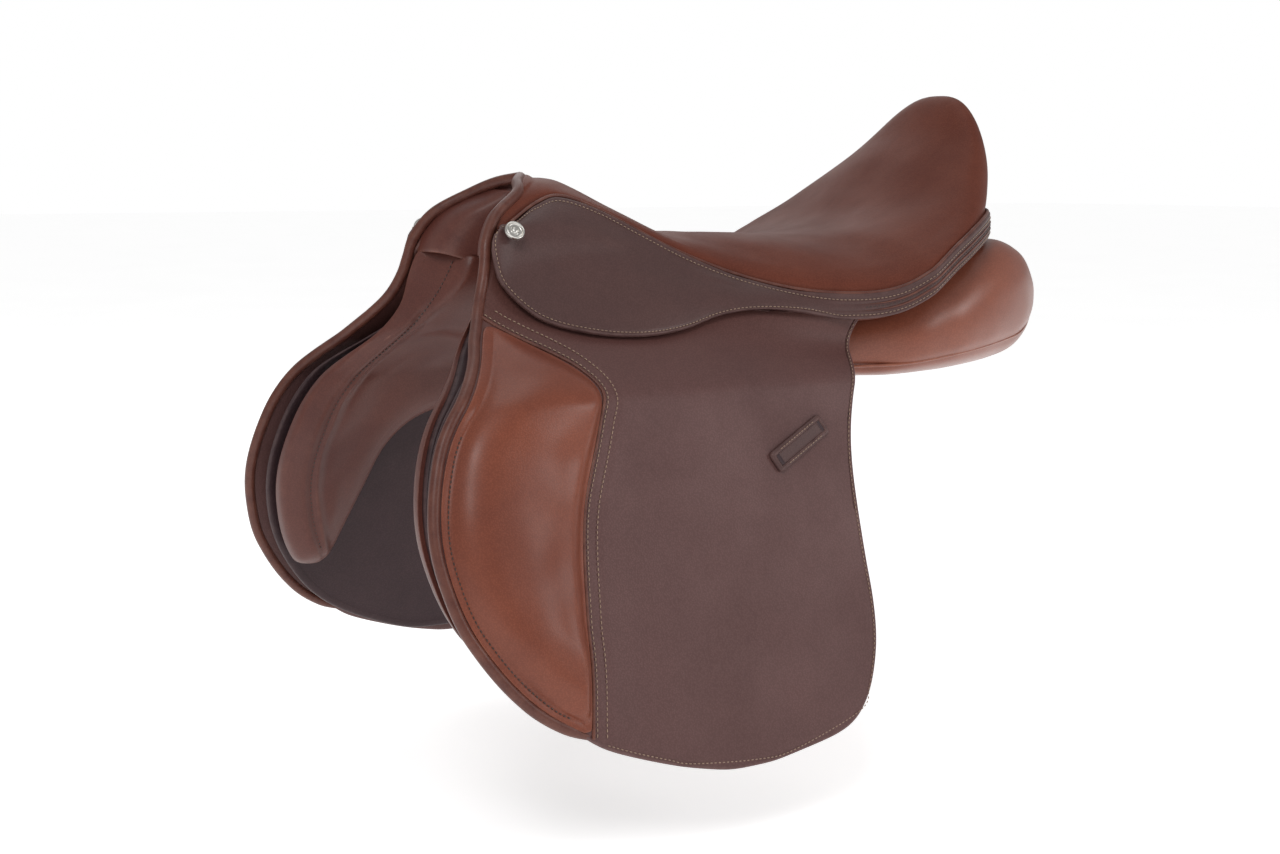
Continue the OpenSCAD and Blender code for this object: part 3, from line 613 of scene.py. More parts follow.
def leather(name, light, dark, worn, roughness, grain, relief, coat=0.0, shine=0.3, head=None):
    """Leather: pebble grain, mottled colour, darker pores and lighter, worn high places, and with head,
    painted shade on the upper part.
    """
    p = Paint(name)
    pebble = p.cells(grain)
    pore = p.noise(grain * 0.35, 4)
    crease = p.noise(grain * 9, 6, 0.6)
    mottle = p.noise(70, 6, 0.55)
    cloudy = p.noise(9, 5, 0.6)
    tone = p.plus(p.math("MULTIPLY", mottle, 0.75), cloudy, 0.25)
    leather_colour = p.mix(p.ramp(tone, 0.28, 0.68), dark, light)
    if head:
        # Painted shade: the colour darkens towards the upper part, where the skirt shades the flap
        height = p.add("ShaderNodeSeparateXYZ", Vector=p.place).outputs["Z"]
        leather_colour = p.mix(p.ramp(p.plus(height, mottle, 0.05), 0.02, 0.10), leather_colour, head)
    pores = p.mix(p.ramp(pebble, 0.25, 0.62), (1, 1, 1), (0.84, 0.82, 0.81))
    leather_colour = p.mix(1.0, leather_colour, pores, "MULTIPLY")
    high = p.tree.nodes.new("ShaderNodeNewGeometry").outputs["Pointiness"]
    wear = p.math("MULTIPLY", p.ramp(high, 0.505, 0.56), p.ramp(cloudy, 0.35, 0.62))
    leather_colour = p.mix(p.math("MULTIPLY", wear, 0.45), leather_colour, worn)
    scuff = p.ramp(p.noise(3.0, 6, 0.7, (1, 1, 0.25)), 0.62, 0.74, 0, 0.16)
    leather_colour = p.mix(scuff, leather_colour, worn)
    relief_of = p.plus(p.plus(p.math("MULTIPLY", pebble, -0.55), pore, 0.25), crease, 0.5)
    p.set(Base_Color=leather_colour, Roughness=p.ramp(mottle, 0.3, 0.7, roughness + 0.07, roughness - 0.06),
          Normal=p.bump(relief_of, relief, 0.35), Coat_Weight=coat, Coat_Roughness=0.32,
          Specular_IOR_Level=shine)
    return p.material


def cloth_of(name, light, dark, size):
    """Woven strap: warp and weft threads over and under each other."""
    p = Paint(name)
    weave = p.math("MULTIPLY", p.bands(size, 0.6), p.bands(size, 0.6, "Z"))
    fuzz = p.noise(0.5, 4)
    p.set(Base_Color=p.mix(p.ramp(p.plus(weave, fuzz, 0.4), 0.1, 1.0), dark, light), Roughness=0.88,
          Normal=p.bump(p.math("ADD", weave, fuzz), 0.6, 0.3), Sheen_Weight=0.3)
    return p.material


def soft_filling(name, light, dark, size, relief):
    """Foam or loose wool: open cells or tufts of one size, over slower clouds."""
    p = Paint(name)
    cells = p.cells(size)
    fluff = p.noise(size * 2.5, 6, 0.7)
    p.set(Base_Color=p.mix(p.ramp(p.math("ADD", cells, fluff), 0.5, 1.3), dark, light), Roughness=0.95,
          Normal=p.bump(p.math("SUBTRACT", fluff, cells), relief, size))
    return p.material


def metal(name, light, dark, roughness, metallic=1.0):
    """Metal with fine polishing lines, and dull patches where it is handled."""
    p = Paint(name)
    lines = p.noise(0.35, 2, 0.5, (0.06, 1, 1))
    patches = p.noise(9, 2, 0.4)
    p.set(Base_Color=p.mix(p.ramp(patches, 0.3, 0.9), light, dark), Metallic=metallic,
          Roughness=p.ramp(p.plus(patches, lines, 0.08), 0.3, 0.85, roughness - 0.04, roughness + 0.08),
          Normal=p.bump(lines, 0.02, 0.004))
    return p.material


def wood(name, light, dark):
    """Laminated wood: thin plies, and grain drawn out along the saddle."""
    p = Paint(name)
    fibre = p.noise(1.1, 6, 0.65, (0.08, 1, 1))
    tone = p.plus(p.math("MULTIPLY", p.bands(1.6, 0.8, "Z"), 0.45), fibre, 0.8)
    p.set(Base_Color=p.mix(p.ramp(tone, 0.3, 0.95), dark, light),
          Roughness=p.ramp(fibre, 0.3, 0.7, 0.5, 0.68), Normal=p.bump(fibre, 0.35, 0.3), Coat_Weight=0.15)
    return p.material


def thread(name, light, dark):
    """Twisted sewing thread."""
    p = Paint(name)
    twist = p.noise(0.45, 3, 0.6, (1, 1, 2.2))
    p.set(Base_Color=p.mix(p.ramp(twist, 0.35, 0.65), dark, light), Roughness=0.62,
          Normal=p.bump(twist, 0.5, 0.15), Sheen_Weight=0.15)
    return p.material


CHESTNUT = leather("chestnut_leather", (0.225, 0.062, 0.033), (0.165, 0.043, 0.024), (0.30, 0.11, 0.065),
                   0.38, 1.15, 0.32, coat=0.24, shine=0.2)
PANEL_LEATHER = leather("panel_leather", (0.265, 0.080, 0.045), (0.200, 0.057, 0.033), (0.34, 0.13, 0.08),
                        0.34, 1.15, 0.28, coat=0.4, shine=0.25)
SEAT_LEATHER = leather("seat_leather", (0.160, 0.045, 0.027), (0.112, 0.031, 0.020), (0.23, 0.085, 0.055),
                       0.48, 1.05, 0.34, shine=0.1)
# Painted shade: a darker copy of the chestnut leather, for the rim, the welts and cords, and the pad's
# binding
RIM_LEATHER_PAINTED_SHADE = leather("rim_leather", (0.120, 0.037, 0.025), (0.085, 0.026, 0.019), (0.22, 0.09, 0.06),
                      0.42, 1.2, 0.34, coat=0.1)
# head darkens the flap's upper part: painted shade under the skirt
BROWN = leather("brown_leather", (0.128, 0.062, 0.058), (0.098, 0.046, 0.043), (0.21, 0.13, 0.12),
                0.50, 1.3, 0.42, head=(0.098, 0.036, 0.029))
SKIRT_LEATHER = leather("skirt_leather", (0.090, 0.043, 0.039), (0.068, 0.032, 0.030), (0.18, 0.10, 0.09),
                        0.46, 1.2, 0.40, coat=0.06)
# Painted shade: a near-black copy of the brown leather, for parts in shade under the flaps and in the
# keeper's slots
PAINTED_SHADE_LEATHER = leather("dark_leather", (0.050, 0.025, 0.028), (0.034, 0.017, 0.020), (0.12, 0.07, 0.065),
               0.50, 1.5, 0.40)
ROLL_LEATHER = leather("roll_leather", (0.130, 0.041, 0.029), (0.092, 0.028, 0.022), (0.24, 0.10, 0.07),
                       0.42, 1.15, 0.32, coat=0.12)
BILLET = leather("billet_leather", (0.12, 0.058, 0.042), (0.070, 0.032, 0.025), (0.24, 0.14, 0.10),
                 0.50, 1.4, 0.40)
THREAD = thread("tan_thread", (0.38, 0.26, 0.18), (0.20, 0.12, 0.08))
DARK_THREAD = thread("brown_thread", (0.055, 0.030, 0.024), (0.030, 0.017, 0.014))
WEBBING = cloth_of("webbing", (0.66, 0.60, 0.46), (0.34, 0.29, 0.21), 1.1)
FOAM = soft_filling("foam", (0.72, 0.66, 0.36), (0.45, 0.40, 0.20), 0.9, 0.5)
WOOL = soft_filling("wool_flock", (0.80, 0.77, 0.68), (0.50, 0.47, 0.40), 2.2, 0.8)
WOOD = wood("laminated_wood", (0.52, 0.34, 0.17), (0.27, 0.15, 0.07))
SPRING_STEEL = metal("painted_steel", (0.075, 0.09, 0.11), (0.045, 0.052, 0.06), 0.45, 0.6)
STAINLESS = metal("stainless", (0.52, 0.52, 0.52), (0.34, 0.34, 0.34), 0.30)
NICKEL = metal("nickel", (0.66, 0.64, 0.60), (0.52, 0.50, 0.47), 0.30)


# The CAD's material slot for each look; sewing thread has none
SLOTS = {look.name: slot for slot, looks in {
    "chestnut_leather": (CHESTNUT, PANEL_LEATHER, SEAT_LEATHER, RIM_LEATHER_PAINTED_SHADE, ROLL_LEATHER),
    "brown_leather": (BROWN, SKIRT_LEATHER, PAINTED_SHADE_LEATHER),
    "billet_leather": (BILLET,), "webbing": (WEBBING,), "foam": (FOAM,), "wool_flock": (WOOL,),
    "nickel": (NICKEL,)}.items() for look in looks}


# ---- Carried-over CAD nodes ----
def repaint():
    for material, names in (
            (WOOD, "tree_frame"),
            (SPRING_STEEL, "head_plate gullet_plate tree_spring_left tree_spring_right"),
            (NICKEL, "tree_rivets catch_pin_left catch_pin_right"),
            (STAINLESS, "stirrup_bar_left stirrup_bar_right bar_catch_left bar_catch_right")):
        for name in names.split():
            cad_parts[name].data.materials.clear()
            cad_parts[name].data.materials.append(material)


# ---- Seat ----
SEAT_INSET = 2.5


def rim_line():
    """Middle of the corded rim on the off side, from the crown down to the flap's foot."""
    top, neck = np.array([136, 122]), np.array([105, 90, 78, 66, 57, 48, 41])
    low = np.linspace(30, -204, 30)
    z = np.concatenate([top, neck, low])
    x = np.concatenate([curve(RIM_FRONT, top) + RIM_IN,
                        curve(FLAP_FRONT, neck) + RIM_IN - 3 * smooth((neck - 78) / 27),
                        curve(FLAP_FRONT, low) + RIM_IN * front_slant(low)])
    side = np.stack([x, side_y(-200, z) - RIM_SUNK, z], -1)
    return smooth_path(np.concatenate([[[-149, 0, 147], [-160, 16, 143.5]], side]))


def seat_grid(drop, inset, nose=0):
    v = np.concatenate([np.linspace(0, 0.75, 62)[:-1], closing(0.75, 1, 0, 89.4, 30)])
    t = np.sin(np.linspace(-math.pi / 2, math.pi / 2, 61))
    x = lerp(SEAT_FRONT + inset, SEAT_END, v)
    rows = seat_point(x[:, None], t[None, :], drop, inset)
    if not nose:
        return rows
    rim = rim_line()
    rim = rim[rim[:, 2] > 103]
    first = rows[0]
    along = lengths(first)
    share = np.abs(2 * along / along[-1] - 1)
    target = between(share * lengths(rim)[-1], lengths(rim), rim)
    target[:, 1] *= np.sign(t + 1e-9)
    target += [2.0, 0, 1.4]
    target[:, 2] -= drop
    extra = []
    for k in np.linspace(1, 0, nose, endpoint=False):
        row = lerp(first, target, k)
        row[:, 2] += 1.6 * math.sin(math.pi * k) * (1 - 0.7 * share)
        extra.append(row)
    rows = np.concatenate([np.array(extra), rows])
    # The leather's edges turn down and in, behind the skirts
    columns = [rows]
    for side, edge in ((1, rows[:, -1]), (-1, rows[:, 0])):
        x = np.minimum(edge[:, 0], SEAT_END - 0.02)
        narrows = seat_half(x - 1) - seat_half(x + 0.01)
        away = unit(np.stack([narrows, 1.01 + 0 * x, 0 * x], -1)) * [1, side, 1]
        hem = [edge + away * out - [0, 0, down] for out, down in ((0.8, 1.5), (1.2, 4), (-0.5, 10))]
        hem = np.stack(hem, 1)
        columns = columns + [hem] if side > 0 else [hem[:, ::-1]] + columns
    return np.concatenate(columns, 1)


def seat():
    top = seat_grid(0, SEAT_INSET, nose=8)
    top += grid_normals(top, [0, 0, 1]) * ripple(top, 34, 0.5)[..., None]
    cover = shell("seat_cover_leather", top, seat_grid(2.0, SEAT_INSET + 2.0, nose=8), SEAT_LEATHER)

    def sewn(q):
        crown = curve(SEAT_LINE, q[:, 0])
        near_edge = np.abs(q[:, 1]) > 0.86 * np.maximum(seat_half(q[:, 0]) - 3, 1)
        return near_edge | (q[:, 2] < crown - 55) | (q[:, 0] < SEAT_FRONT + 12) | (q[:, 0] > 226)

    puff(cover, sewn, cap=2.2, pressure=2.0, growth=0.01)
    one_piece(refine(cover), stands_for="seat_cover")
    foam_in = SEAT_INSET + 3.6
    foam = shell("seat_foam_block", seat_grid(3.6, foam_in), seat_grid(18.6, foam_in) - [0, 0, 0.5], FOAM)
    one_piece(foam, stands_for="seat_foam")


def strap_rings(path, across, width, thick):
    """Rings of a flat strap with rounded edges."""
    tangent = unit(np.gradient(path, axis=0))
    normal = unit(np.cross(tangent, across))
    side = np.cross(normal, tangent)
    angle = circle(20)[:, None]
    w = boxed(np.cos(angle), 0.25) * width / 2
    h = boxed(np.sin(angle), 0.6) * thick / 2
    return path[:, None] + side[:, None] * w + normal[:, None] * h


WEB_T = 1.5


def webbing():
    """Two narrow webs along the tree, and two broad ones across it, below them."""
    x = np.linspace(-98, 98, 60)
    rings = []
    for y in (-9, 9):
        path = np.stack([x, y + 0 * x, curve(SEAT_LINE, x) - 22], -1)
        rings.append(strap_rings(path, [0, 1, 0], 13, WEB_T))
    for place in (-4.0, 50.0):
        path = seat_point(place, np.linspace(-0.7, 0.7, 60), 27, 3)
        rings.append(strap_rings(path, [1, 0, 0], 30, WEB_T))
    pieces = [loft("seat_webbing_strap_%d" % (i + 1), r, WEBBING) for i, r in enumerate(rings)]
    for piece in pieces:
        one_piece(piece)
    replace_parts(pieces[0], "seat_webbing")


def seam_stations(first, count):
    """Places along the seam from first to the middle of the cantle, closer where it turns."""
    straight = np.linspace(first, WIDEST_X, count)[:-1]
    return np.concatenate([straight, closing(WIDEST_X, SEAT_END, 0, 89.6, 34)])


def welts():
    x = seam_stations(-184, 90)
    path = resample(seam_off(x, 0.2, 1.6), 260)
    path[-1, 1] = 0
    # The welt's darker leather is painted shade in the crease between seat and skirt
    welt = cord("welt", path, 1.3, RIM_LEATHER_PAINTED_SHADE, 12)
    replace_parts(both_sides(welt, "seat_welt_cord"), "seat_welt")
    x = seam_stations(60, 20)
    # The cantle cords' darker leather is painted shade
    for name, down in (("cantle_cord_upper", 9.6), ("cantle_cord_lower", 14.2)):
        path = resample(seam_off(x, SKIRT_OUT - 0.1, down), 150)
        path[-1, 1] = 0
        both_sides(cord(name, path, 0.8 * smooth(np.linspace(0.1, 6, 150)), RIM_LEATHER_PAINTED_SHADE, 10), name)


def cantle_back():
    """Leather under the seat's edge: down behind the band, then inwards over the panels."""
    x = seam_stations(-60, 30)
    section = smooth_path([[-5, 5], [-5.5, 12], [-7, 18.5], [-14, 22.5], [-34, 24], [-80, 26]], 3.0)
    outer = np.array([seam_off(x, out, down) for out, down in section])
    inner = np.array([seam_off(x, out - 1.6, down - 1.2) for out, down in section])
    for face in (outer, inner):
        face[..., 1] = np.maximum(face[..., 1], 0)
        face[:, -1, 1] = 0
    piece = shell("cantle_back", outer, inner, ROLL_LEATHER)
    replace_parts(both_sides(piece, "cantle_back_piece"), "cantle_back")


# ---- Pommel ----
FACING_T = 1.8


def pommel():
    path = rim_line()
    path[0, 1] = 0
    taper = smooth((path[:, 2] + 206) / 14) * 0.85 + 0.15
    # The rim's darker leather is painted shade
    rim = cord("rim", path, RIM_R * taper, RIM_LEATHER_PAINTED_SHADE, 16)
    both_sides(rim, "pommel_and_flap_rim", stands_for="flap_rim_{side}", **ON_FLAP)
    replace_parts(rim, "pommel_rim")
    # The facing's section, away from the rim: how far down, how far back, and its swell to the front
    line = path[path[:, 2] > 92][::2]
    depth = np.array([1.5, 4, 8, 14, 21, 28, 34, 38, 40, 41, 41, 40, 38])
    back = np.array([3.5, 5.5, 7, 8, 9, 10.5, 13, 18, 26, 36, 48, 60, 72])
    swell = np.array([0, 1.2, 2.2, 2.8, 2.8, 2.4, 1.6, 0.6, 0, 0, 0, 0, 0])
    half = []
    for q in line:
        f = min(1.0, q[1] / 30)
        deep = depth * lerp(1.22, 1.0, f)
        z = q[2] - deep * (1 - f) * 0.9 - 2 * (1 - f) - 0.35 * np.maximum(back - 10, 0)
        half.append(np.stack([q[0] + back - swell, np.maximum(q[1] - deep * f, 0.0), z], -1))
    half = np.array(half)
    front = np.concatenate([half[:0:-1] * [1, -1, 1], half])
    thickness = grid_normals(front, [-1, 0, -0.4]) * FACING_T
    facing = shell("pommel_facing_leather", front, front - thickness, ROLL_LEATHER)
    one_piece(refine(facing), stands_for="pommel_facing")


# ---- Flaps ----
ON_FLAP = {"body": "flap_{side}", "bend": ((-80, 105, 44), (-80, 105, 8))}
RIM_FOOT = -196.0


def flap_edge_front(z):
    """The flap's front edge: in the middle of the rim, and bare below the rim's foot."""
    bare = smooth((z - RIM_FOOT + 14) / 16)
    return curve(FLAP_FRONT, z) + RIM_IN * np.minimum(front_slant(z), 2.2) * bare


def flap_sides(front, rear, z_low, z_top_front, top_line):
    zf = np.linspace(z_low, z_top_front, 160)
    zr = np.linspace(top_line[-1][1], z_low, 160)
    top = np.array(top_line, float)
    rear_line = np.stack([rear(zr), zr], -1)
    rear_line[0] = top[-1]
    front_line = np.stack([front(zf), zf], -1)
    top = np.concatenate([[front_line[-1]], top])
    # The round foot belongs half to the rear side and half to the front side
    foot = np.array([rear_line[-1], front_line[0]])
    cut_r, cut_f = 128, 32
    low = np.concatenate([rear_line[cut_r:], foot[1:], front_line[1 : cut_f + 1]])
    return [top, rear_line[: cut_r + 1], low, front_line[cut_f:]]


PAD_LOW = -196.0
KNEE_REAR = [[-200, -206], [-160, -199], [-131, -197], [-67, -187], [-20, -168], [1, -160], [17, -156],
             [30, -163]]


def pad_front(z):
    return curve(FLAP_FRONT, z) + 7.4 * np.minimum(front_slant(z), 1.7)


PAD_IN = 6.0
PAD_RISE = 11.5
PAD_EDGE = 1.3
PAD_CREST = [[-171, 21], [-183, 30], [-199, 39], [-212, 47], [-224, 56]]


def pad_outline(grow=0.0):
    """The knee pad's rear and top edge from its foot up, moved out by grow."""
    z = np.linspace(PAD_LOW - 4, 8, 14)
    rear = np.stack([curve(KNEE_REAR, z) - PAD_IN, z], -1)
    line = smooth_path(np.concatenate([rear, PAD_CREST]), 1.5)
    along = unit(np.gradient(line, axis=0))
    return line + grow * np.stack([along[:, 1], -along[:, 0]], -1)


EDGE_ROW = 3.1


def flaps():
    top_line = [[-199, 110], [-190, 117], [-178, 121], [-167, 119], [-158, 108], [-148, 88], [-136, 71],
                [-120, 66], [-60, 66], [-30, 60], [0, 56], [40, 55], [85, 57]]
    sides = flap_sides(flap_edge_front, lambda z: curve(FLAP_REAR, z), -236, 102, top_line)
    near_row, far_row = pad_outline(4.0), pad_outline(11)

    def set_in(z):
        """The sewn head lies deeper, under the skirt."""
        return 3.5 * smooth((z - 88) / 12)

    def face(depth, x, z):
        near_pad = (x < -130) & (z < 75)
        height = groove(depth - EDGE_ROW, 0.9, 0.5) * smooth((x + 235) / 20) - edge_round(depth, FLAP_T / 2)
        height += ripple(at_side(x, z), 42, 0.7) * smooth((depth - 4) / 20) - set_in(z)
        for row in (near_row, far_row):
            height[near_pad] += groove(distance_to(row, x[near_pad], z[near_pad]), 1.6, 0.5)
        return height

    def back(depth, x, z):
        return edge_round(depth, FLAP_T / 2) - FLAP_T - set_in(z)

    flap = sheet("flap", sides, at_side, face, back, BROWN, step=2.6, soften=16)
    both_sides(flap, "flap_leather", stands_for="flap_head_{side} flap_{side}", **ON_FLAP)
    rows = [row[row[:, 1] < 60].T for row in (near_row, far_row)]
    pad_rows = stitches("pad_rows", [at_side(*r) for r in rows], [side_normal(*r) for r in rows], THREAD)
    both_sides(pad_rows, "flap_stitching", **ON_FLAP)
    z = np.linspace(42, -226, 120)[::6]
    rear = np.stack([curve(FLAP_REAR, z) - EDGE_ROW, z], -1)
    z = np.linspace(-229, -204, 30)[::6]
    foot = np.stack([curve(FLAP_FRONT, z) + 3.0, z + 2.4], -1)
    loop = smooth_path(np.concatenate([rear, [[-60, -230.5], [-90, -232]], foot])).T
    edge = stitches("edge_row", [at_side(*loop, -0.2)], [side_normal(*loop)], THREAD, 3.2, 2.0, 0.36)
    both_sides(edge, "flap_edge_stitching", **ON_FLAP)


def knee_pads():
    z = np.linspace(PAD_LOW, 46, 90)
    front = np.stack([pad_front(z), z], -1)
    edge = pad_outline()
    turn = int(np.argmin(np.abs(edge[:, 1] - 14)))
    crest = edge[turn:][::-1]
    rear = edge[edge[:, 1] > PAD_LOW][: turn][::-1]
    rear[0] = crest[-1]
    sides = [np.concatenate([front[-1:], crest]), rear, np.array([rear[-1], front[0]]), front]

    def height(depth, x, z):
        from_front = np.clip((x - pad_front(z)) / front_slant(z), 0, 200)
        shoulder = dome((from_front - 6) / 28, 2.3)
        crease = groove(from_front - 6, 1.6, 0.7)
        fall = 2.5 * smooth((from_front - 40) / 60)
        rise = PAD_RISE * shoulder - fall + crease + ripple(at_side(x, z), 30, 0.8)
        return PAD_EDGE + rise * dome((depth - 1.5) / 9)

    pad = sheet("knee_pad", sides, at_side, height, 0.2, CHESTNUT, soften=12, rings=(0, 0.8, 2, 3.6, 5.4))

    def sewn(q):
        return q[:, 1] - side_y(q[:, 0], q[:, 2]) < 2.2

    puff(pad, sewn, cap=3.0, pressure=3.0, growth=0.035)
    both_sides(refine(pad), "knee_pad_cushion", stands_for="knee_pad_{side}", **ON_FLAP)
    # Binding round the pad's rear and top edge, and the row inside the rim
    # The binding's darker leather is painted shade
    binding = cord("pad_binding", at_side(*pad_outline(1.2).T, 0.2), 1.2, RIM_LEATHER_PAINTED_SHADE, 10)
    both_sides(binding, "knee_pad_binding", slot="brown_leather", **ON_FLAP)
    z = np.linspace(-12, -186, 90)
    x = pad_front(z) + 5.0 * np.minimum(front_slant(z), 1.7)
    row = stitches("pad_front_row", [at_side(x, z, PAD_EDGE)], [side_normal(x, z)], DARK_THREAD, 3.2)
    both_sides(row, "knee_pad_stitching", **ON_FLAP)


def middle_of(node):
    low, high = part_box(node)
    return np.array((low + high) / 2) / MM


def keepers():
    """The keeper's strap: raised border, plain sunk face, and a slot at each end."""
    middle = middle_of("leather_keeper_right")
    turn, tilt = math.radians(28), math.atan(SPLAY)
    along = np.array([math.cos(turn), 0, math.sin(turn)])
    up = np.array([-math.sin(turn), 0, math.cos(turn)])
    lean = np.array([[1, 0, 0], [0, math.cos(tilt), -math.sin(tilt)], [0, math.sin(tilt), math.cos(tilt)]])
    along, up, out = lean @ along, lean @ up, lean @ np.array([0, 1, 0])

    def place(u, v, off):
        u, v, off = [q[..., None] for q in np.broadcast_arrays(u, v, off)]
        return middle + u * along + v * up + off * out

    def box_sides(half_u, half_v):
        corners = [np.array([i * half_u, j * half_v]) for i, j in ((-1, 1), (1, 1), (1, -1), (-1, -1))]
        return [np.array([corners[i - 1], corners[i]]) for i in (1, 2, 3, 0)]

    def face(depth, u, v):
        border = 0.7 * np.exp(-(((depth - 2.2) / 1.1) ** 2))
        return 1.0 + border - edge_round(depth, 1.6)

    def slot_face(depth, u, v):
        return 1.6 - edge_round(depth, 0.9) - 0.5 * smooth(depth / 1.2)

    strap = sheet("keeper", box_sides(27, 7.8), place, face, -1.2, SKIRT_LEATHER, step=1.6, soften=3,
                  rings=(0, 0.3, 0.8, 1.5, 2.2, 3.0, 4.0))
    both_sides(strap, "keeper_strap", "flap_{side}", stands_for="leather_keeper_{side}")
    # The slots are near-black leather: painted shade in the openings
    for end, shift in (("front", -22.6), ("rear", 22.6)):
        tab = sheet("keeper_slot", box_sides(2.4, 6.2),
                    lambda u, v, off, shift=shift: place(u + shift, v, off), slot_face, 0.2,
                    PAINTED_SHADE_LEATHER, step=0.9, soften=4, rings=(0, 0.2, 0.5, 0.9))
        both_sides(tab, "keeper_slot_" + end, "flap_{side}")
    u = np.linspace(-18, 18, 40)
    rows = [place(u, v, 1.75) for v in (-5.8, 5.8)]
    row = stitches("keeper_rows", rows, [out, out], THREAD, 2.8, 1.9, 0.3)
    both_sides(row, "keeper_stitching", "flap_{side}")


# ---- Skirts ----
SKIRT_TOP = [-184, -172, -160, -138, -109, -81, -54, -28, -3, 22]
SKIRT_LOW = [[-207, 104], [-207, 92], [-202, 74], [-181, 53], [-146, 43], [-109, 40], [-75, 43], [-43, 51],
             [-16, 54], [16, 52]]
SKIRT_T = 4.0
SKIRT_OUT = 2.4  # the skirt's outer face, off the seat's seam
SEAM_DROP = 1.8
BAND_H = 18.5
LOW_ROW, TOP_ROW = 3.0, 4.4  # rows of stitches, in from the skirt's edges
BAND_LINES = (7.6, 12.4)  # creases along the cantle band
FOLD_A = np.array([-206.0, 70, 96])
FOLD_B = np.array([-10.0, 101, 60])


def skirt_ends():
    """Top and bottom line of the skirt's outer face, from the stud to the middle of the cantle."""
    band = seam_stations(47, 8)
    tops = [[[-197, 59.5, 116.5]], seam_off(SKIRT_TOP, SKIRT_OUT, SEAM_DROP),
            seam_off(band, SKIRT_OUT, SEAM_DROP)]
    lows = [[at_side(-204, 110, 7.0)], at_side(*np.transpose(SKIRT_LOW), 8.0),
            seam_off(band, SKIRT_OUT, SEAM_DROP + BAND_H)]
    ends = []
    for parts in (tops, lows):
        line = np.concatenate(parts)
        line[-1, 1] = 0
        ends.append(rounded(np.concatenate([[2 * line[0] - line[1]], line, [line[-2] * [1, -1, 1]]]), 12))
    middle = lengths(sum(ends) / 2)
    at = np.concatenate([[0, 0.4, 1.0, 2.0, 3.4], np.arange(5.5, middle[-1], 3.2), middle[-1:]])
    return [between(at, middle, q) for q in ends] + [at]


def skirt_surface(top, low, share):
    """Points on the skirt's outer face, share of the way down."""
    p = lerp(top, low, share)
    lobe = smooth((30 - p[..., 0]) / 40)
    crown = 5 * np.sin(np.pi * share[..., 0]) * lobe
    over_flap = lerp(-1.5, 7, smooth(share[..., 0] / 0.3))
    lift = np.maximum(p[..., 1] + crown, side_y(p[..., 0], p[..., 2]) + over_flap)
    p = p.copy()
    p[..., 1] = lerp(p[..., 1] + crown, lift, lobe)
    return p


def skirts():
    top, low, along = skirt_ends()
    tall = np.linalg.norm(top - low, axis=1)
    near_top = np.array([0, 0.5, 1.2, 2.4, 3.8, 5.4, 7.2])
    near_low = np.array([6.8, 5.2, 4.2, 3.4, 2.6, 1.8, 1.1, 0.5, 0])
    inner = np.linspace(0, 1, 16)[1:-1]
    columns = []
    for h in tall:
        scale = min(1, h / 30)
        a, b = near_top * scale, h - near_low * scale
        columns.append(np.concatenate([a, lerp(a[-1], b[0], inner), b]))
    down = np.array(columns)
    share = (down / tall[:, None])[..., None]
    face = skirt_surface(top[:, None], low[:, None], share)
    normal = grid_normals(face, [0.2, 1, 0])
    normal[-1, :, 1] = 0
    normal = unit(normal)
    from_low = tall[:, None] - down
    front = along[:, None] + 0 * down
    band = smooth((face[..., 0] - 20) / 60)
    edge = np.minimum(from_low, front)
    height = -edge_round(edge, 1.9) - edge_round(down, 1.6) * 1.3
    height += groove(edge - LOW_ROW, 0.9, 0.4) + groove(down - TOP_ROW, 0.9, 0.4)
    height += band * sum(groove(down - line, 0.8, 0.5) for line in BAND_LINES)
    height += ripple(face, 30, 0.5) * (1 - band)
    inner_face = face - normal * (SKIRT_T - edge_round(edge, 1.6))[..., None]
    outer = face + normal * height[..., None]
    outer[-1, :, 1] = inner_face[-1, :, 1] = 0
    middle = (FOLD_A + FOLD_B) / 2
    line = unit(FOLD_B - FOLD_A)
    fall = square_to(np.array([0, 0, -1.0]), line)
    on_skirt = {"body": "skirt_{side}", "bend": (middle - 6 * fall, middle + 8 * fall)}
    skirt = shell("skirt", outer, inner_face, SKIRT_LEATHER)
    both_sides(skirt, "skirt_leather", stands_for="skirt_base_{side} skirt_lobe_{side}", **on_skirt)

    def row_at(d, axis, least):
        """A line at a distance d from the skirt's top edge, where one of its axes exceeds least."""
        p = skirt_surface(top, low, (d / tall)[:, None])
        n = np.array([normal[i, np.abs(down[i] - d[i]).argmin()] for i in range(len(d))])
        use = p[:, axis] > least
        return p[use], n[use]

    upper = [q[2:] for q in row_at(TOP_ROW + 0 * tall, 1, 2)]
    row = stitches("skirt_rows", *zip(row_at(tall - LOW_ROW, 1, 2), upper), THREAD, 3.0, 2.0, 0.34)
    both_sides(row, "skirt_stitching", **on_skirt)
    row = stitches("band_rows", *zip(row_at(BAND_H * 0.54 + 0 * tall, 0, 62)), DARK_THREAD, 3.0, 2.0, 0.36)
    both_sides(row, "cantle_band_stitching")


def studs():
    """Round stud with a raised ring, a sunk floor and a domed middle."""
    profile = smooth_path([[0.05, 2.9], [1.4, 2.7], [2.4, 1.9], [2.9, 1.2], [4.6, 1.2], [5.2, 1.7],
                           [5.8, 2.7], [6.5, 2.6], [7.0, 1.6], [7.0, 0.4], [6.6, 0.0], [0.05, 0.0]], 0.35)
    tilt = math.radians(34)
    out = np.array([0, math.cos(tilt), math.sin(tilt)])
    side = np.array([1.0, 0, 0])
    angle = circle(48)[:, None]
    turn = np.cos(angle) * side + np.sin(angle) * np.cross(out, side)
    r, height = profile.T[..., None, None]
    rings = middle_of("skirt_stud_right") + r * turn + (height - 1.0) * out
    both_sides(loft("stud", rings, NICKEL), "skirt_stud_cap", stands_for="skirt_stud_{side}")


# ---- Sweat flaps and panels ----
SWEAT_OUTER, SWEAT_INNER = -20.2, -24.3


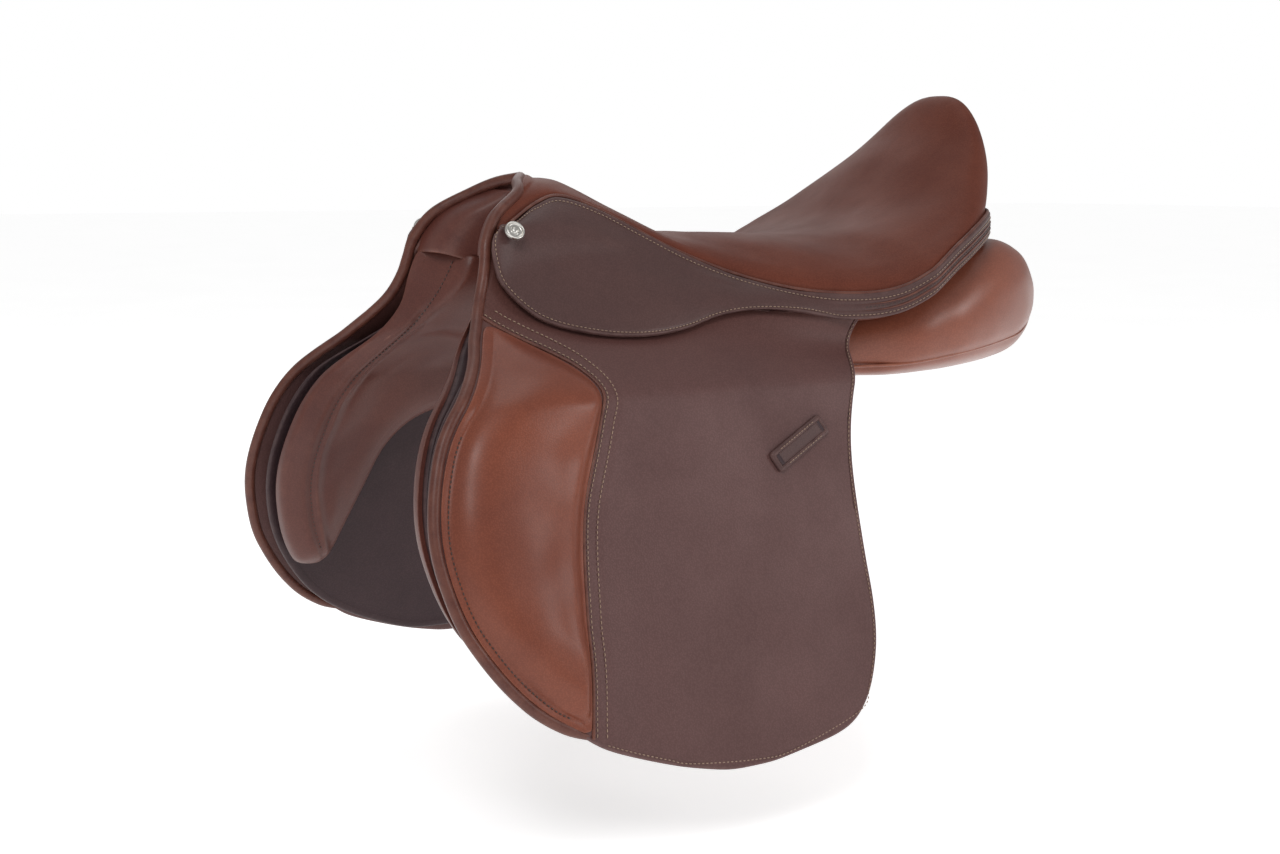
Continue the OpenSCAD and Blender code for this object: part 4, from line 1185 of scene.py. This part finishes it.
def sweat_flaps():
    def front(z):
        return curve(FLAP_FRONT, z) + 9.5 + 8 * smooth((z - 10) / 20)

    top = [[-226, 46], [-150, 46], [-60, 46], [20, 46], [56, 46]]
    sides = flap_sides(front, lambda z: curve(FLAP_REAR, z) - 12, -224, 46, top[1:])

    def swell(depth, x, z):
        """The bound edge is a little thicker, and rounded."""
        return 0.5 * (1 - smooth(depth - 5)) - edge_round(depth, 2.0)

    # The sweat flap is near-black leather: painted shade under the flap
    piece = sheet("sweat_flap", sides, at_side, lambda *at: SWEAT_OUTER + swell(*at),
                  lambda *at: SWEAT_INNER - swell(*at), PAINTED_SHADE_LEATHER, step=4.5, soften=14,
                  rings=(0, 0.4, 1.0, 2.0, 3.4, 4.8, 5.6, 6.4))
    both_sides(piece, "sweat_flap_leather", stands_for="sweat_flap_{side}")


PANEL = [[-84, 34, 60, 30, 70], [-60, 34, 68, 8, 62], [0, 34, 84, 0, 44], [50, 34, 92, 0, 42],
         [80, 34, 106, 0, 46], [110, 35, 124, 0, 56], [150, 36, 128, 1, 76], [190, 37, 122, 3, 92],
         [225, 39, 110, 6, 100], [244, 42, 102, 10, 97], [259, 47, 93, 18, 88], [271, 53, 84, 30, 75],
         [279, 61, 76, 43, 62]]


PANEL_SEAM = 0.17  # share of the cushion's height


def panel_edges(x):
    """A cushion's inner, outer, lower and upper edge at x."""
    return [curve([[s[0], s[c]] for s in PANEL], x) for c in (1, 2, 3, 4)]


def panel_ring(x, inset, angle):
    """A cushion's section at x: a rounded box between its edges."""
    y0, y1, z0, z1 = panel_edges(x)
    y = (y0 + y1) / 2 + ((y1 - y0) / 2 - inset) * boxed(np.cos(angle), 2 / 2.6)
    z = (z0 + z1) / 2 + ((z1 - z0) / 2 - inset) * boxed(np.sin(angle), 2 / 2.6)
    return np.stack([x + 0 * y, y, z], -1)


def panels():
    x = np.concatenate([np.linspace(-84, 240, 82), closing(240, 279, 5, 90, 18)])
    rings = [panel_ring(a, 1.0, circle(56)) for a in x]
    last = rings[-1]
    for share in (0.8, 0.5, 0.2):
        rings.append(lerp(last.mean(0), last, share) + [1.0 * (1 - share), 0, 0])
    piece = loft("panel", np.array(rings), PANEL_LEATHER)

    def sewn(q):
        return (q[:, 2] > panel_edges(q[:, 0])[3] - 5) | (q[:, 0] < -70)

    puff(piece, sewn, cap=2.6, pressure=3.0, growth=0.03)
    points = coords(piece)
    seam = points[:, 2] - lerp(*panel_edges(points[:, 0])[2:], PANEL_SEAM)
    outer = smooth((points[:, 1] - 60) / 10)
    points[:, 1] += (groove(seam, 2.6, 1.6) + groove(points[:, 0] - 62, 3.0, 1.2)) * outer
    points += ripple(points, 26, 0.7)[:, None] * [0.3, 1, 0.5]
    set_coords(piece, points)
    both_sides(refine(piece), "panel_cushion", stands_for="panel_{side}")
    # Welt round the cushion's outer seam
    line = []
    for a in np.concatenate([np.linspace(40, 246, 60), closing(246, 272, 8, 88, 10)])[::2]:
        ring = panel_ring(a, 0.3, np.linspace(-math.pi / 2, math.pi / 2, 121))
        line.append(ring[np.abs(ring[:, 2] - lerp(ring[0, 2], ring[-1, 2], PANEL_SEAM)).argmin()])
    line = smooth_path(line)
    taper = 0.1 + 0.9 * smooth(np.linspace(0, 1, len(line)) * -9 + 9)
    both_sides(cord("panel_welt", line, 1.1 * taper, PANEL_LEATHER, 10), "panel_welt_cord")
    rings = np.array([panel_ring(a, 5.0, circle(40)) for a in np.linspace(-72, 273, 60)])
    rings[..., 1:] += ripple(rings, 18, 1.6)[..., None]
    both_sides(loft("flock", rings, WOOL), "panel_wool", stands_for="panel_flock_{side}")


# Rear and lower edge of the panel's forward part, from the top down: (place, height)
FORE_EDGE = [[-96, 74], [-92, 20], [-108, -14], [-147, -25], [-182, -36], [-205, -57], [-218, -87],
             [-233, -123], [-240, -140]]


ROLL_EDGE = 20.0  # the roll is full this far in from its outline


def pleat_x(z):
    """Where the roll's pleat runs: it nears the front edge towards the pommel."""
    return curve(FLAP_FRONT, z) + lerp(33, 24, smooth((z - 5) / 60))


def fore_sides(front_in, inset):
    edge = smooth_path(FORE_EDGE, 3.0) + [-inset, inset * 0.6]
    turn = int(np.argmin(np.abs(edge[:, 1] + 12)))
    z = np.linspace(-148, 96, 80)
    front = np.stack([curve(FLAP_FRONT, z) + front_in * lerp(1, 0.5, smooth((z - 50) / 40)), z], -1)
    top = np.array([front[-1], [-180, 92], [-150, 84], edge[0]])
    low = np.concatenate([edge[turn:], [[-250, -150]], front[:1]])
    return [top, edge[: turn + 1], low, front]


def panel_fronts():
    """The panel's forward part: a backing darkened with painted shade, and over it the knee roll with its
    pleat.
    """
    def back_off(x, z):
        # Towards the pommel the panel's front edge curls out to the rim
        curl = 8 + 37 * smooth((x - curve(FLAP_FRONT, z) - 6) / 30)
        return -lerp(39, curl, smooth((z - 25) / 50))

    # The backing is near-black leather: painted shade under the flap
    backing = sheet("panel_front", fore_sides(14, 3), at_side,
                    lambda d, x, z: back_off(x, z) + 4 - edge_round(d, 1.5),
                    lambda d, x, z: back_off(x, z) - 0.5, PAINTED_SHADE_LEATHER, step=5, soften=3)
    both_sides(backing, "panel_front_leather", stands_for="panel_front_{side}", slot="chestnut_leather")

    def roll_face(depth, x, z):
        full = np.sqrt(dome(depth / ROLL_EDGE))
        pleat = pleat_x(z)
        high = lerp(19, 12, smooth((x - pleat) / 14)) * lerp(1, 0.25, smooth((z - 5) / 60))
        fold = groove(x - pleat, 3.2, 4.0) + groove(x - pleat + 15, 4.5, 1.5) * smooth((50 - z) / 30)
        fold = fold * lerp(1, 0.45, smooth((z - 30) / 40))
        return back_off(x, z) - 1 - (high + fold) * full - ripple(at_side(x, z), 26, 1.2) * full

    roll = sheet("knee_roll", fore_sides(11, 0), at_side, lambda d, x, z: back_off(x, z) - 0.7, roll_face,
                 ROLL_LEATHER, step=3.2, soften=6, rings=(0, 0.8, 2.0, 3.6, 5.4))

    def sewn(q):
        deep = back_off(q[:, 0], q[:, 2]) - (q[:, 1] - side_y(q[:, 0], q[:, 2]))
        return (deep < 3.5) | (np.abs(q[:, 0] - pleat_x(q[:, 2])) < 2.5)

    puff(roll, sewn, cap=2.5, pressure=3.0, growth=0.03)
    both_sides(refine(roll), "knee_roll_cushion", stands_for="knee_roll_{side}")
    z = np.linspace(88, -134, 110)
    x = pleat_x(z)
    row = stitches("pleat_row", [at_side(x, z, roll_face(ROLL_EDGE, x, z) - 0.2)], [-side_normal(x, z)],
                   DARK_THREAD)
    both_sides(row, "knee_roll_stitching")


# ---- Girth billets ----
BILLET_X = (-75.0, -41.0, -7.0)
BILLET_IN = (9.25, 15.75, 9.25)  # the straps' middle, behind the saddle's side
BILLET_LOW = -165.0
FIRST_HOLE = 22.0
HOLE_PITCH = 25.0
HOLE_R = 2.5


def strap_curve(name, half, tall, tip, thick, material):
    """A flat strap with a pointed end and six holes, as a filled outline given a thickness."""
    data = bpy.data.curves.new(name, "CURVE")
    data.dimensions = "2D"
    data.fill_mode = "BOTH"
    outline = [(-half, 0), (half, 0), (half, tip - tall), (half * 0.8, tip * 0.45 - tall), (5, 0.8 - tall),
               (0, -tall), (-5, 0.8 - tall), (-half * 0.8, tip * 0.45 - tall), (-half, tip - tall)]
    holes = [[(HOLE_R * math.cos(a), FIRST_HOLE + k * HOLE_PITCH - tall + HOLE_R * math.sin(a))
              for a in circle(20)] for k in range(6)]
    for points in [outline] + holes:
        spline = data.splines.new("POLY")
        spline.points.add(len(points) - 1)
        for point, (u, v) in zip(spline.points, points):
            point.co = (u * MM, v * MM, 0, 1)
        spline.use_cyclic_u = True
    data.extrude = (thick / 2 - 0.5) * MM
    data.bevel_depth = 0.5 * MM
    data.bevel_resolution = 2
    data.offset = -0.5 * MM
    source = linked(name, data)
    bpy.context.view_layer.update()
    mesh = bpy.data.meshes.new_from_object(source.evaluated_get(bpy.context.evaluated_depsgraph_get()))
    bpy.data.objects.remove(source)
    mesh.name = name
    return cleaned(mesh, material, MM / 200)


def billets():
    slope = math.sqrt(1 + SPLAY**2)
    thick = 4.5 / slope - 0.2
    down = np.array([0, SPLAY, -1.0]) / slope
    out = np.array([0, 1.0, SPLAY]) / slope
    length = -BILLET_LOW * slope
    z = np.linspace(-6, 20 - length, 60)[:, None]
    for number, (x, off) in enumerate(zip(BILLET_X, BILLET_IN), 1):
        strap = strap_curve("billet", 12.5, length, 14, thick, BILLET)
        u, v, w = coords(strap).T[..., None]
        top = np.array([x, KNEE_HALF - off, 0])
        set_coords(strap, top + u * [1, 0, 0] - v * down + w * out)
        body = "billet_{side}_%d" % number
        both_sides(strap, "billet_strap_%d" % number, body, stands_for=body)
        rows = [top + [across, 0, 0] - z * down + face * thick / 2 * out
                for across in (-9.8, 9.8) for face in (1, -1)]
        row = stitches("billet_rows", rows, [out, -out, out, -out], THREAD, 3.4, 2.3, 0.32)
        both_sides(row, "billet_stitching_%d" % number, body)
    front = at_side(np.linspace(-88, 6, 40)[:, None], np.linspace(3.5, 58, 30)[None, :], -9.0)
    web = shell("web", front, front - [0, 2.5, 0], WEBBING)
    both_sides(web, "billet_web_strap", stands_for="billet_web_{side}")


# ---- Stage ----
FLOOR_GAP = 0.055
ROOM_LIGHT = 0.42  # the white room's light on the saddle; seen directly it is 1
AZIMUTH, ELEVATION = math.radians(32), math.radians(8)
DISTANCE = 1.356
AIM = Vector((-0.0384, 0, -0.0287))  # from the saddle's middle


def stage():
    low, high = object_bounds()
    middle = (low + high) / 2
    bpy.ops.mesh.primitive_plane_add(size=40, location=(middle.x, 0, low.z - FLOOR_GAP))
    floor = bpy.context.object
    floor.name = "floor"
    p = Paint("pale_floor")
    p.set(Base_Color=p.mix(p.ramp(p.noise(400, 3), 0.3, 0.7), (0.88, 0.88, 0.88), (0.92, 0.92, 0.92)),
          Roughness=0.9, Emission_Color=(1, 1, 1), Emission_Strength=0.6, Specular_IOR_Level=0.1)
    floor.data.materials.append(p.material)
    floor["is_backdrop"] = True
    world = bpy.data.worlds.new("studio")
    bpy.context.scene.world = world
    world.use_nodes = True
    nodes, links = world.node_tree.nodes, world.node_tree.links
    background = nodes["Background"]
    background.inputs[0].default_value = (1, 1, 1, 1)
    strength = nodes.new("ShaderNodeMapRange")
    strength.inputs["To Min"].default_value = ROOM_LIGHT
    strength.inputs["To Max"].default_value = 1.0
    links.new(nodes.new("ShaderNodeLightPath").outputs["Is Camera Ray"], strength.inputs["Value"])
    links.new(strength.outputs[0], background.inputs[1])
    aim = middle + AIM

    def lamp(name, place, size, power):
        light = bpy.data.lights.new(name, "AREA")
        light.size = size
        light.energy = power
        obj = linked(name, light)
        obj.location = place
        obj.rotation_euler = (aim - Vector(place)).to_track_quat("-Z", "Y").to_euler()

    lamp("key", (-1.5, -1.6, 1.9), 0.9, 24)
    lamp("fill", (1.7, -1.9, 0.9), 0.7, 11)
    lamp("top", (0.1, 0.3, 2.3), 1.2, 7)
    lamp("back", (0.9, 2.0, 1.4), 1.5, 8)
    away = Vector((-math.sin(AZIMUTH) * math.cos(ELEVATION), -math.cos(AZIMUTH) * math.cos(ELEVATION),
                   math.sin(ELEVATION)))
    camera = linked("camera", bpy.data.cameras.new("camera"))
    camera.data.lens = 50.4
    camera.data.sensor_width = 36
    camera.location = aim + away * DISTANCE
    camera.rotation_euler = (-away).to_track_quat("-Z", "Y").to_euler()
    bpy.context.scene.camera = camera
    bpy.context.scene.view_settings.view_transform = "Standard"


repaint()
seat()
webbing()
welts()
cantle_back()
pommel()
flaps()
knee_pads()
keepers()
skirts()
studs()
sweat_flaps()
panels()
panel_fronts()
billets()
stage()
